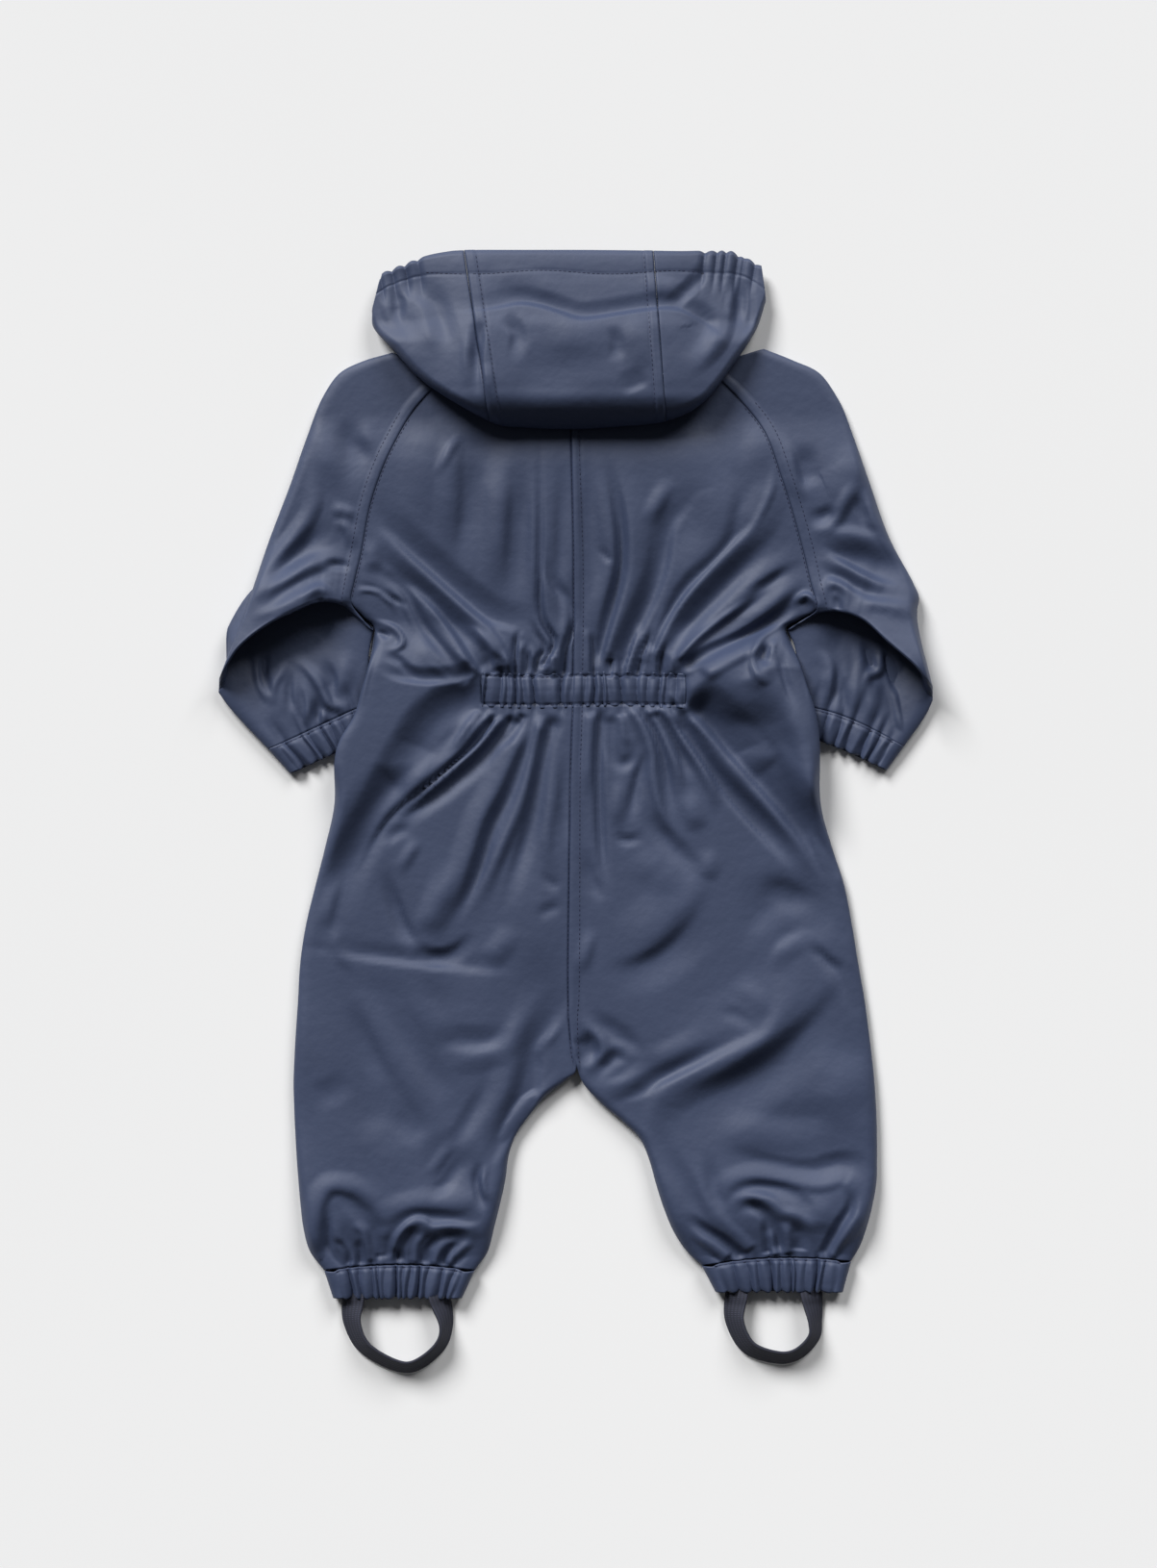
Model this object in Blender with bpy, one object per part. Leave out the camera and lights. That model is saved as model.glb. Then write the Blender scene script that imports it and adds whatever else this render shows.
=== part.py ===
"""A baby's hooded puddle suit of coated cloth, laid flat with its back up.

Every cut piece is a thin closed wall that lies where the real piece lies: the front panels and the
underside of the sleeves rest flat on the ground, the back panels and the tops of the sleeves lie on
them, each forearm is folded under its upper arm and tucked under the side of the body, and the hood
is a soft bag that flops back over the shoulders. +Z is up, +Y points to the hood, X runs across, and
the origin is on the ground under the middle. Tables are in millimetres.
"""

from collections import namedtuple
import math

import bpy
import numpy as np

MM = 0.001
CLOTH = 1.4          # wall of a cut piece
SEAM = 0.3           # gap between two pieces at a seam
RIM = 4.4            # height of the side seams over the ground, half way up the rounded edge
LOFT = 8.0           # usual height of the back's outer face over the ground
HOOD_BED = 10.4      # height at which the hood lies on the shoulders
TUCK_LIFT = 9.4      # how far the body rises where it lies on a tucked cuff
LEG_LOFT = 3.0       # how much fuller the legs are at their hems
LEAST_LOFT = 5.0     # the deepest trough's height
RIM_HEADROOM = 3.2   # the least height of a rounded edge over its rim
FRONT_NECK_DROP = 18.0
HOOD_ROLL = 9.0      # radius across the hood's outline
HOOD_GATHER = 1.3    # height of the gathers at the two ends of the face opening
RING_ROLL = 5.0      # radius across the two sides of a cuff or hem
RIGHT, LEFT = 1, -1

# Where a height begins to change and where it has changed in full, along Y or in from an edge.
UNDER_HOOD = (262, 240)      # the creases come out from under the hood
LEG_BILLOW = (-240, -292)    # the legs grow fuller towards their hems
SHOULDER_LINE = (321, 304)   # the hood comes down from the shoulders to the ground
EDGE_BLEND = (26, 9)         # the creases die out beside a rounded edge
BAND_BLEND = (10, 3)         # and beside the waist casing

# How the body rises on to each tucked cuff: across from where it starts to where it is full, up
# from the foot side, and down again at the top side.
Tuck = namedtuple("Tuck", "start full foot foot_full top top_full")
TUCKS = {LEFT: Tuck(-88, -120, 8, 32, 109, 91), RIGHT: Tuck(96, 128, 14, 38, 111, 93)}

# The hood's dome falls by this share from its middle line to its two sides.
HOOD_MIDDLE, HOOD_SIDES, HOOD_SIDE_FALL = -4.0, (52, 130), 0.58
HOOD_WAIST = 0.45            # the outline turns under at this share of the hood's thickness
HOOD_LEAST_ROLL = 0.35       # its radius there is at most this share of the piece's length

# The waist casing on the back and the closure strip between the fronts: middle and size.
Strip = namedtuple("Strip", "x y width height")
BAND = Strip(4.5, 79.5, 133.0, 19.5)
CLOSURE = Strip(0, 61.5, 34.0, 419.0)
CLOSURE_TIP = 18.0           # the closure narrows to a point over this length
CLOSURE_ROWS = (21, 22)      # the rows of BODY between which it narrows

NAVY = (0.060, 0.072, 0.116, 1.0)
DARK_NAVY = (0.022, 0.026, 0.050, 1.0)

# Rows of the body from the neck to the leg's hem stitching. The inner point is on the centre back
# seam or the inseam. The back and the front each end on their raglan seam down to the underarm
# (row 9) and on the side seam after it. side and leg say how much of the edge is a rounded edge.
Section = namedtuple("Section", "inner_x inner_y back_x back_y front_x front_y side leg")
BODY = {
    LEFT: [
        Section(-3, 289, -84, 287, -80, 285, 0, 0),
        Section(-3, 266, -106, 263, -94, 260, 0, 0),
        Section(-3, 244, -119, 241, -105, 237, 0, 0),
        Section(-3, 221, -128.5, 219.5, -113, 214, 0, 0),
        Section(-3, 196, -135.5, 197, -120, 190, 0, 0),
        Section(-2.2, 169, -140.5, 170, -126, 164, 0, 0),
        Section(-2.2, 149, -145, 150, -129.5, 143, 0, 0),
        Section(-2.2, 136, -147, 137, -131, 130, 0, 0),
        Section(-2.2, 127, -139.5, 127.5, -131.8, 123.5, 0.5, 0),
        Section(-2.2, 117, -132.2, 118.5, -132.2, 118.5, 1, 0),
        Section(-2.2, 98, -135.8, 96.5, -135.8, 96.5, 1, 0),
        Section(-1.8, 80, -140.8, 78.5, -140.8, 78.5, 1, 0),
        Section(-1.8, 62, -145.5, 62.5, -145.5, 62.5, 1, 0),
        Section(-1.8, 45, -154.8, 46.5, -154.8, 46.5, 1, 0),
        Section(-1.8, 30, -158.2, 32, -158.2, 32, 1, 0),
        Section(-1.8, 4, -158.8, 4, -158.8, 4, 1, 0),
        Section(-1.8, -22, -164.7, -23, -164.7, -23, 1, 0),
        Section(-1.8, -48, -171, -48, -171, -48, 1, 0),
        Section(-1.8, -74, -177.3, -74, -177.3, -74, 1, 0),
        Section(-1.5, -99, -181.1, -99, -181.1, -99, 1, 0),
        Section(-1.5, -124, -182.6, -124, -182.6, -124, 1, 0),
        Section(-0.8, -148, -184.3, -149, -184.3, -149, 1, 0),
        Section(0, -168, -185.3, -170, -185.3, -170, 1, 0.2),
        Section(-7, -176, -185.5, -180, -185.5, -180, 1, 0.6),
        Section(-20.5, -187, -185.2, -191, -185.2, -191, 1, 1),
        Section(-31.5, -200, -184.8, -202, -184.8, -202, 1, 1),
        Section(-40, -212.5, -184.2, -213.5, -184.2, -213.5, 1, 1),
        Section(-44.5, -226, -183.5, -226, -183.5, -226, 1, 1),
        Section(-46.5, -241, -182.4, -241, -182.4, -241, 1, 1),
        Section(-50, -257, -181, -257, -181, -257, 1, 1),
        Section(-54, -273, -179, -273, -179, -273, 1, 1),
        Section(-58, -288, -174.8, -288, -174.8, -288, 1, 1),
        Section(-66.5, -300.5, -165.5, -300.5, -165.5, -300.5, 1, 1),
    ],
    RIGHT: [
        Section(-3, 289, 84, 291, 80, 285, 0, 0),
        Section(-3, 266, 106, 270, 94, 260, 0, 0),
        Section(-3, 244, 123, 248, 106, 237, 0, 0),
        Section(-3, 221, 133.5, 219.5, 116, 214, 0, 0),
        Section(-3, 196, 140.5, 198, 124, 190, 0, 0),
        Section(-2.2, 169, 148.5, 169, 131, 164, 0, 0),
        Section(-2.2, 149, 153.5, 147, 135, 143, 0, 0),
        Section(-2.2, 136, 157, 133, 136.2, 130, 0, 0),
        Section(-2.2, 127, 146.5, 126, 136.8, 124, 0.5, 0),
        Section(-2.2, 117, 137.2, 119, 137.2, 119, 1, 0),
        Section(-2.2, 100, 144, 102, 144, 102, 1, 0),
        Section(-1.8, 82, 150.3, 83.5, 150.3, 83.5, 1, 0),
        Section(-1.8, 64, 156.4, 64.5, 156.4, 64.5, 1, 0),
        Section(-1.8, 46, 158.8, 46.5, 158.8, 46.5, 1, 0),
        Section(-1.8, 30, 159.2, 31, 159.2, 31, 1, 0),
        Section(-1.8, 4, 160.2, 4, 160.2, 4, 1, 0),
        Section(-1.8, -22, 167.3, -23, 167.3, -23, 1, 0),
        Section(-1.8, -48, 175.4, -48, 175.4, -48, 1, 0),
        Section(-1.8, -74, 180.5, -74, 180.5, -74, 1, 0),
        Section(-1.5, -99, 184.6, -99, 184.6, -99, 1, 0),
        Section(-1.5, -124, 188.9, -124, 188.9, -124, 1, 0),
        Section(-0.8, -148, 192.2, -149, 192.2, -149, 1, 0),
        Section(0.4, -168, 194.7, -170, 194.7, -170, 1, 0.2),
        Section(5, -179, 195.6, -181, 195.6, -181, 1, 0.6),
        Section(16, -191, 196.3, -192, 196.3, -192, 1, 1),
        Section(30, -203, 196.8, -204, 196.8, -204, 1, 1),
        Section(41.5, -214.5, 197, -215, 197, -215, 1, 1),
        Section(47.5, -228, 197, -228, 197, -228, 1, 1),
        Section(52, -244, 196.6, -243, 196.6, -243, 1, 1),
        Section(57.5, -261, 193.8, -259, 193.8, -259, 1, 1),
        Section(64, -276, 190, -273, 190, -273, 1, 1),
        Section(72.5, -288.5, 185.6, -285, 185.6, -285, 1, 1),
        Section(82, -297.3, 180, -294.5, 180, -294.5, 1, 1),
    ],
}
UNDERARM = 9          # the row of BODY where the raglan seams and the side seam meet
RAGLAN_END = 7        # the row where the raglan seam reaches the fold over the forearm
CORNER_ROLL = 8.0     # radius across a rounded edge
PLAIN_ROLL = 2.0      # the same at a flat seam

# The outer edge of each upper arm, against the rows of BODY.
ArmEdge = namedtuple("ArmEdge", "row x y")
ARM_EDGE = {
    LEFT: [ArmEdge(0, -121, 300.5), ArmEdge(0.7, -140, 295), ArmEdge(1.4, -156, 286.5), ArmEdge(2, -165.5, 273),
           ArmEdge(3, -177, 244.5), ArmEdge(4, -188, 213), ArmEdge(5, -202, 176), ArmEdge(6, -217, 131.5),
           ArmEdge(7, -234, 86)],
    RIGHT: [ArmEdge(0, 123, 303), ArmEdge(0.7, 142, 295.5), ArmEdge(1.4, 160, 286.5), ArmEdge(2, 171, 271),
            ArmEdge(3, 181, 247), ArmEdge(4, 191.5, 217), ArmEdge(5, 206, 177), ArmEdge(5.7, 221, 149),
            ArmEdge(6, 224.5, 140), ArmEdge(6.3, 223, 128), ArmEdge(6.6, 226, 110), ArmEdge(7, 233.2, 81)],
}

# Places across a sleeve from the body (0) to the outer edge (1): where the upper arm folds under,
# how deep the cloth goes back there, where the cuff is sewn on, and the cuff's end.
Across = namedtuple("Across", "part fold_x fold_y depth cuff_x cuff_y end_x end_y")
SLEEVE = {
    LEFT: [
        Across(0, -147, 137, 0, -132.6, 72, -128.2, 51.5),
        Across(0.2, -166, 137, 16, -146.5, 66, -140, 46.5),
        Across(0.4, -184, 129.5, 26, -160.5, 59.5, -151.8, 41.2),
        Across(0.6, -202, 120.5, 24, -174.5, 53, -163.8, 35.8),
        Across(0.8, -220, 106, 14, -188.5, 46.5, -175.8, 30.2),
        Across(1, -234, 86, 4, -202.2, 40.8, -187.6, 24.6),
    ],
    RIGHT: [
        Across(0, 157, 133, 0, 138.9, 73, 137.7, 52.8),
        Across(0.2, 171.5, 130.5, 16, 154.5, 68, 151.2, 49.2),
        Across(0.4, 186.5, 124.5, 26, 170, 63.8, 164.5, 44.4),
        Across(0.6, 201.5, 110.5, 24, 185.2, 57.8, 177.8, 39),
        Across(0.8, 218, 96, 14, 200, 50.5, 190.8, 33),
        Across(1, 233.2, 81, 4, 214.5, 42.5, 203.2, 26.8),
    ],
}
# The forearm's edge beside and under the body, and its outer edge, from the fold to the cuff.
ForearmEdge = namedtuple("ForearmEdge", "part inner_x inner_y outer_x outer_y")
FOREARM = {
    LEFT: [ForearmEdge(0, -133.2, 118.2, -234.6, 78), ForearmEdge(0.25, -135.4, 107, -229, 70),
           ForearmEdge(0.5, -135.8, 97, -220, 59.5), ForearmEdge(0.75, -133.8, 85, -211, 50),
           ForearmEdge(1, -132.6, 72, -202.2, 40.8)],
    RIGHT: [ForearmEdge(0, 138.2, 118.6, 233.6, 73), ForearmEdge(0.25, 142.6, 109, 230, 65),
            ForearmEdge(0.5, 143.8, 99, 225, 57), ForearmEdge(0.75, 141, 86, 220, 50),
            ForearmEdge(1, 138.9, 73, 214.5, 42.5)],
}
FOLD_RADIUS = 1.9      # of the turned edge, to the cloth's outer face
HOLLOW_RADIUS = 2.1    # of the turn at the back of the hollow
FOREARM_LOFT = 7.4     # height of the forearm's top face

# Creases and folds: height over (or under) the cloth round them, half width and path.
Fold = namedtuple("Fold", "height width path")
BACK_FOLDS = [
    Fold(3.5, 11, [(-17, 247), (-17, 196), (-15, 148), (-15, 128), (-9, 111), (-15, 97)]),
    Fold(-3, 10, [(9, 228), (16, 190), (21, 165)]),
    Fold(-3, 10, [(25, 203), (26, 164), (21, 132), (15, 100)]),
    Fold(3.5, 10, [(34, 212), (38, 177), (33, 138), (25, 106)]),
    Fold(-3, 12, [(73, 215), (53, 187), (47, 157), (36, 126)]),
    Fold(3.5, 10, [(89, 159), (65, 131), (54, 114), (44, 94)]),
    Fold(-3, 12, [(-82, 162), (-62, 138), (-39, 128)]),
    Fold(3.5, 11, [(-84, 145), (-65, 131), (-51, 94)]),
    Fold(-3.5, 14, [(-129, 212), (-111, 174), (-84, 147)]),
    Fold(4.5, 15, [(-131, 185), (-107, 147), (-82, 112), (-63, 91)]),
    Fold(4.5, 15, [(145, 153), (114, 128), (76, 103)]),
    Fold(-3, 14, [(139, 181), (114, 172), (76, 148)]),
    Fold(4, 12, [(-64, 40), (-88, 17), (-111, -1)]),
    Fold(-3.5, 16, [(-108, 36), (-138, -16), (-157, -47), (-166, -82)]),
    Fold(5, 13, [(-29, 40), (-54, 15), (-68, -23), (-78, -56), (-97, -87)]),
    Fold(-3, 10, [(-45, 28), (-68, -12), (-84, -48)]),
    Fold(3, 11, [(-122, -39), (-118, -70), (-99, -84)]),
    Fold(4.5, 11, [(-172, -91), (-156, -92), (-117, -96), (-68, -103), (-24, -107), (-8, -104)]),
    Fold(4, 12, [(-154, -97), (-139, -119), (-116, -157)]),
    Fold(-3, 15, [(-14, -112), (-31, -141), (-43, -168)]),
    Fold(-3, 11, [(16, 40), (14, -2), (20, -51)]),
    Fold(-3.5, 12, [(95, 44), (126, 17), (150, -14), (163, -39)]),
    Fold(4, 10, [(86, 34), (116, 5), (147, -29), (162, -53)]),
    Fold(-3.5, 11, [(78, 30), (103, -4), (134, -42), (150, -64)]),
    Fold(4.5, 12, [(13, -100), (43, -89), (72, -56)]),
    Fold(5, 12, [(174, -87), (152, -83), (135, -88), (128, -102), (128, -137), (100, -157), (66, -180)]),
    Fold(-4, 14, [(-30, -149), (-46, -192), (-66, -230), (-66, -253), (-78, -269)]),
    Fold(3.5, 11, [(-164, -249), (-153, -243), (-141, -258)]),
    Fold(4.5, 10, [(97, -263), (102, -250), (115, -249), (126, -261), (131, -276), (134, -289)]),
    Fold(4, 11, [(50, -194), (75, -177), (111, -151)]),
    Fold(4, 20, [(-140, -250), (-120, -285), (-120, -310)]),
    Fold(4, 20, [(150, -245), (140, -280), (140, -305)]),
]
SLEEVE_FOLDS = [
    Fold(8.5, 52, [(-262, 60), (-226, 101), (-198, 122), (-170, 131), (-140, 128)]),
    Fold(8.5, 52, [(262, 50), (232, 80), (206, 108), (180, 124), (150, 124)]),
    Fold(-3, 11, [(-162, 272), (-153, 241), (-138, 220)]),
    Fold(3, 11, [(-149, 189), (-162, 174), (-198, 148)]),
    Fold(3, 11, [(-155, 166), (-187, 154), (-222, 127)]),
    Fold(3.5, 11, [(188, 212), (176, 191), (155, 183)]),
    Fold(3.5, 11, [(161, 170), (184, 158), (213, 145)]),
    Fold(-3.5, 9, [(182, 134), (205, 132), (222, 128)]),
]
FOREARM_FOLDS = [
    Fold(1.6, 9, [(-182, 100), (-163, 85), (-155, 72), (-146, 68)]),
    Fold(-1.6, 9, [(-190, 92), (-177, 76), (-174, 62)]),
    Fold(1.6, 8, [(-205, 92), (-199, 75), (-186, 60)]),
    Fold(1.6, 9, [(156, 104), (160, 84), (163, 68)]),
    Fold(-1.6, 9, [(170, 104), (172, 84), (176, 66)]),
    Fold(1.6, 9, [(186, 100), (190, 76), (196, 60)]),
]

# Columns of the hood from one end of the face opening to the other: the forehead edge, the outline
# where the cloth turns under, and the neck edge (at the two ends, the lower edge of the opening).
HoodColumn = namedtuple("HoodColumn", "edge_x edge_y back_x back_y neck_x neck_y")
HOOD = [
    HoodColumn(-127.5, 352.5, -134, 327, -104, 330),
    HoodColumn(-115, 357.5, -132.5, 316, -99, 321),
    HoodColumn(-99, 362.8, -119.5, 301, -92, 309),
    HoodColumn(-85, 365.3, -97, 278, -83, 294),
    HoodColumn(-73.5, 366, -57, 254.5, -62, 289.7),
    HoodColumn(-40, 366, -34, 250.6, -36, 289.7),
    HoodColumn(0, 366, -2, 249.6, 0, 289.7),
    HoodColumn(28, 365.8, 28, 251.2, 30, 289.7),
    HoodColumn(50, 365.5, 58, 254.4, 56, 289.7),
    HoodColumn(68, 365.5, 82, 266, 78, 293),
    HoodColumn(86, 366.3, 102, 291, 88, 304),
    HoodColumn(103, 366.2, 117, 314, 94, 318),
    HoodColumn(121, 357, 124, 334, 99, 331),
]
HOOD_SEAMS = (4, 8)    # the columns of HOOD that the two long seams follow
HOOD_LOFT = [          # height of the hood's top face against the place along +Y
    (240, 30), (262, 33), (276, 37), (292, 38), (306, 35), (316, 28.5), (323, 22), (332, 19.5), (343, 18),
    (350, 16), (358, 16.5), (366, 15),
]
HOOD_FOLDS = [
    Fold(-4, 14, [(-101, 338), (-96, 322), (-103, 305), (-108, 300)]),
    Fold(-5, 15, [(66, 329), (86, 322), (92, 312)]),
    Fold(-4, 13, [(-72, 312), (-70, 290), (-66, 268)]),
    Fold(-5, 12, [(108, 350), (104, 332), (106, 318)]),
    Fold(3.5, 12, [(91, 345), (97, 325), (92, 300), (80, 285)]),
]

# Stirrups: the middle line of each flat webbing loop, its lean from lying flat, and its low edge.
Loop = namedtuple("Loop", "x y lean")
STIRRUP = {
    LEFT: [Loop(-146, -305, 0), Loop(-146, -318, 16), Loop(-146.4, -334, 42), Loop(-138.5, -350, 52),
           Loop(-120, -361, 56), Loop(-106, -362, 58), Loop(-90.5, -350, 62), Loop(-86, -336, 60),
           Loop(-90, -318, 24), Loop(-91.5, -305, 0)],
    RIGHT: [Loop(105.5, -302, 0), Loop(105, -316, 16), Loop(104, -333, 42), Loop(113, -350, 50),
            Loop(131, -356.5, 54), Loop(144, -354.5, 56), Loop(154.5, -344, 58), Loop(155.5, -333, 54),
            Loop(153.5, -316, 20), Loop(152.5, -302, 0)],
}
WEBBING_WIDTH, WEBBING_THICK = 15.0, 1.6
LOOP_LIFT = (-324, -317)    # between these places along +Y a stirrup rises onto the hem's lower cloth

# Leg hems: the two ends of the sewn edge and of the lower edge, and how many gathers show.
Hem = namedtuple("Hem", "sewn_in sewn_out end_in end_out gathers loft")
LEG_HEM = {
    LEFT: Hem((-66.8, -300.9), (-165.2, -300.9), (-75, -318.5), (-159.5, -318.5), 10, 12.5),
    RIGHT: Hem((82.2, -297.7), (179.8, -294.9), (91, -314.6), (174.5, -314.6), 12, 12.5),
}
CUFF_GATHERS, CUFF_LOFT = 8, 8.3
BAND_GATHERS = 20
GATHER_HEIGHT = 0.9

# Where the parts of a face begin and end in u and v.
ROLL_IN_END, ROLL_OUT_START = 0.12, 0.82
RING_TOP, RING_FAR, RING_UNDER = 0.7, 0.8, 0.9
TURNED, HOLLOW, CUFF_ROW = 7.6, 8.2, 13
NEAR_BODY = 0.3


def through(keys, values, at):
    """A smooth curve through a table's rows: a cubic with slopes from the neighbouring rows."""
    keys, values, at = np.asarray(keys, float), np.asarray(values, float), np.asarray(at, float)
    slopes = np.gradient(values, keys, axis=0)
    row = np.clip(np.searchsorted(keys, at, side="right") - 1, 0, len(keys) - 2)
    gap = keys[row + 1] - keys[row]
    t = (at - keys[row]) / gap
    if values.ndim == 2:
        t, gap = t[..., None], gap[..., None]
    return (values[row] * (1 + 2 * t) * (1 - t) ** 2 + values[row + 1] * t * t * (3 - 2 * t)
            + gap * (slopes[row] * t * (1 - t) ** 2 + slopes[row + 1] * t * t * (t - 1)))


def column(rows, *names):
    return [[getattr(row, name) for name in names] for row in rows]


def ease(start, end, value):
    """0 at start, 1 at end, smooth between them; start may be the larger one."""
    t = np.clip((value - start) / (end - start), 0, 1)
    return t * t * (3 - 2 * t)


def fold_height(folds, x, y):
    """The sum of all folds at x, y. A fold is a soft ridge or trough that fades at both its ends."""
    total = np.zeros_like(x)
    for fold in folds:
        places = np.linspace(0, len(fold.path) - 1, 5 * len(fold.path))
        line = through(range(len(fold.path)), fold.path, places)
        nearest = np.full_like(x, np.inf)
        along = np.zeros_like(x)
        for index in range(len(line) - 1):
            (ax, ay), (bx, by) = line[index], line[index + 1]
            length = (bx - ax) ** 2 + (by - ay) ** 2
            part = np.clip(((x - ax) * (bx - ax) + (y - ay) * (by - ay)) / length, 0, 1)
            distance = np.hypot(x - ax - part * (bx - ax), y - ay - part * (by - ay))
            closer = distance < nearest
            nearest = np.where(closer, distance, nearest)
            along = np.where(closer, (index + part) / (len(line) - 1), along)
        fade = ease(0, 0.3, along) * ease(1, 0.7, along)
        total += fold.height * fade * np.clip(1 - (nearest / fold.width) ** 2, 0, None) ** 2
    return total


def lift(x, y):
    """How far the body is raised at its two sides, where it lies on the tucked cuffs."""
    left, right = (ease(tuck.start, tuck.full, x) * ease(tuck.foot, tuck.foot_full, y)
                   * ease(tuck.top, tuck.top_full, y) for tuck in (TUCKS[LEFT], TUCKS[RIGHT]))
    return TUCK_LIFT * np.where(x < 0, left, right)


def rim_face(x, y):
    return RIM + lift(x, y)


def top_face(x, y):
    """Height of the outer face of the back and of the upper arms, away from their rounded edges."""
    off_band = np.maximum(np.abs(x - BAND.x) - BAND.width / 2, np.abs(y - BAND.y) - BAND.height / 2)
    under_band = ease(*BAND_BLEND, off_band)
    folds = fold_height(BACK_FOLDS, x, y) * (1 - under_band) + fold_height(SLEEVE_FOLDS, x, y)
    folds *= ease(*UNDER_HOOD, y)
    leg_loft = LEG_LOFT * ease(*LEG_BILLOW, y)
    return np.maximum(LOFT + leg_loft + folds - under_band, LEAST_LOFT) + lift(x, y)


def across(u, width, roll_in, roll_out):
    """How far u is from the inner edge, and how far the cloth has dropped over each rounded edge."""
    turn_in = math.pi / 2 * np.clip(1 - u / ROLL_IN_END, 0, 1)
    turn_out = math.pi / 2 * np.clip((u - ROLL_OUT_START) / (1 - ROLL_OUT_START), 0, 1)
    part = np.clip((u - ROLL_IN_END) / (ROLL_OUT_START - ROLL_IN_END), 0, 1)
    distance = (SEAM / 2 + roll_in * (1 - np.sin(turn_in)) + part * (width - SEAM - roll_in - roll_out)
                + roll_out * np.sin(turn_out))
    return distance, 1 - np.cos(turn_in), 1 - np.cos(turn_out)


def body_edge(side, layer, v):
    """The outer edge of the back or the front at row v of BODY, which is also the sleeve's inner edge."""
    return through(range(len(BODY[side])), column(BODY[side], f"{layer}_x", f"{layer}_y"), v)


def panel(side, layer):
    """The outer face of one back or front panel: u runs across it, v down the rows of BODY."""
    rows = BODY[side]

    def face(u, v):
        keys = range(len(rows))
        inner = through(keys, column(rows, "inner_x", "inner_y"), v)
        if layer == "front":
            inner[..., 1] -= FRONT_NECK_DROP * np.clip(1 - v / 3, 0, 1) ** 2
            beside_closure = side * (CLOSURE.width / 2 + SEAM / 2) - inner[..., 0]
            inner[..., 0] += beside_closure * np.interp(v, CLOSURE_ROWS, [1, 0])
        outer = body_edge(side, layer, v)
        side_weight = np.interp(v, keys, [row.side for row in rows])
        leg_weight = np.interp(v, keys, [row.leg for row in rows])
        width = np.linalg.norm(outer - inner, axis=-1)
        roll_in = PLAIN_ROLL + (CORNER_ROLL - PLAIN_ROLL) * leg_weight
        distance, drop_in, drop_out = across(u, width, roll_in, CORNER_ROLL)
        x, y = np.moveaxis(inner + (outer - inner) * (distance / width)[..., None], -1, 0)
        drop = leg_weight * drop_in + side_weight * drop_out
        if layer == "front":
            flat, rim = lift(x, y), rim_face(x, y) - SEAM / 2
        else:
            rim = rim_face(x, y) + SEAM / 2
            near_rim = np.maximum(side_weight * ease(*EDGE_BLEND, width - distance),
                                  leg_weight * ease(*EDGE_BLEND, distance))
            flat = np.maximum(top_face(x, y), (rim + RIM_HEADROOM) * near_rim)
        return np.stack([x, y, flat - drop * (flat - rim)], axis=-1)

    return face


def sleeve_edges(side, layer, v):
    """Inner and outer edge of a sleeve at row v: the raglan and the shoulder, then the forearm's edges."""
    arm, forearm = ARM_EDGE[side], FOREARM[side]
    keys = [row.part for row in forearm]
    down_forearm = (v - UNDERARM) / (CUFF_ROW - UNDERARM)
    inner_forearm = through(keys, column(forearm, "inner_x", "inner_y"), np.clip(down_forearm, 0, 1))
    outer_forearm = through(keys, column(forearm, "outer_x", "outer_y"), np.clip(down_forearm, 0, 1))
    walk = np.clip((v - RAGLAN_END) / (UNDERARM - RAGLAN_END), 0, 1)[..., None]
    raglan = body_edge(side, layer, np.minimum(v, UNDERARM))
    clear = np.array([side * 0.6, -0.9]) * np.sin(math.pi * walk)
    inner = np.where((v < UNDERARM)[..., None], raglan + (inner_forearm - raglan) * walk ** 3 + clear, inner_forearm)
    shoulder = through([row.row for row in arm], column(arm, "x", "y"), np.minimum(v, RAGLAN_END))
    return inner, shoulder + (outer_forearm - shoulder) * walk


def bend(side, layer, row, line, part):
    """How far a line across the sleeve stands from the straight row between its edges at that row."""
    near, far = sleeve_edges(side, layer, np.full_like(part, row))
    return line - near - (far - near) * part[..., None]


def sleeve_front(side):
    """The outer face of the sleeve's under piece, flat on the ground from the front raglan to the cuff."""

    def face(u, v):
        inner, outer = sleeve_edges(side, "front", v)
        width = np.linalg.norm(outer - inner, axis=-1)
        inner_weight = np.interp(v, [RAGLAN_END, UNDERARM], [0, 1])
        distance, drop_in, drop_out = across(u, width, CORNER_ROLL, CORNER_ROLL)
        part = distance / width
        cuff_line = through([row.part for row in SLEEVE[side]], column(SLEEVE[side], "cuff_x", "cuff_y"), part)
        down_forearm = np.clip((v - UNDERARM) / (CUFF_ROW - UNDERARM), 0, 1)[..., None]
        plan = inner + (outer - inner) * part[..., None]
        x, y = np.moveaxis(plan + bend(side, "front", CUFF_ROW, cuff_line, part) * down_forearm, -1, 0)
        rise = inner_weight * drop_in + drop_out
        return np.stack([x, y, rise * (RIM - SEAM / 2)], axis=-1)

    return face


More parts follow.
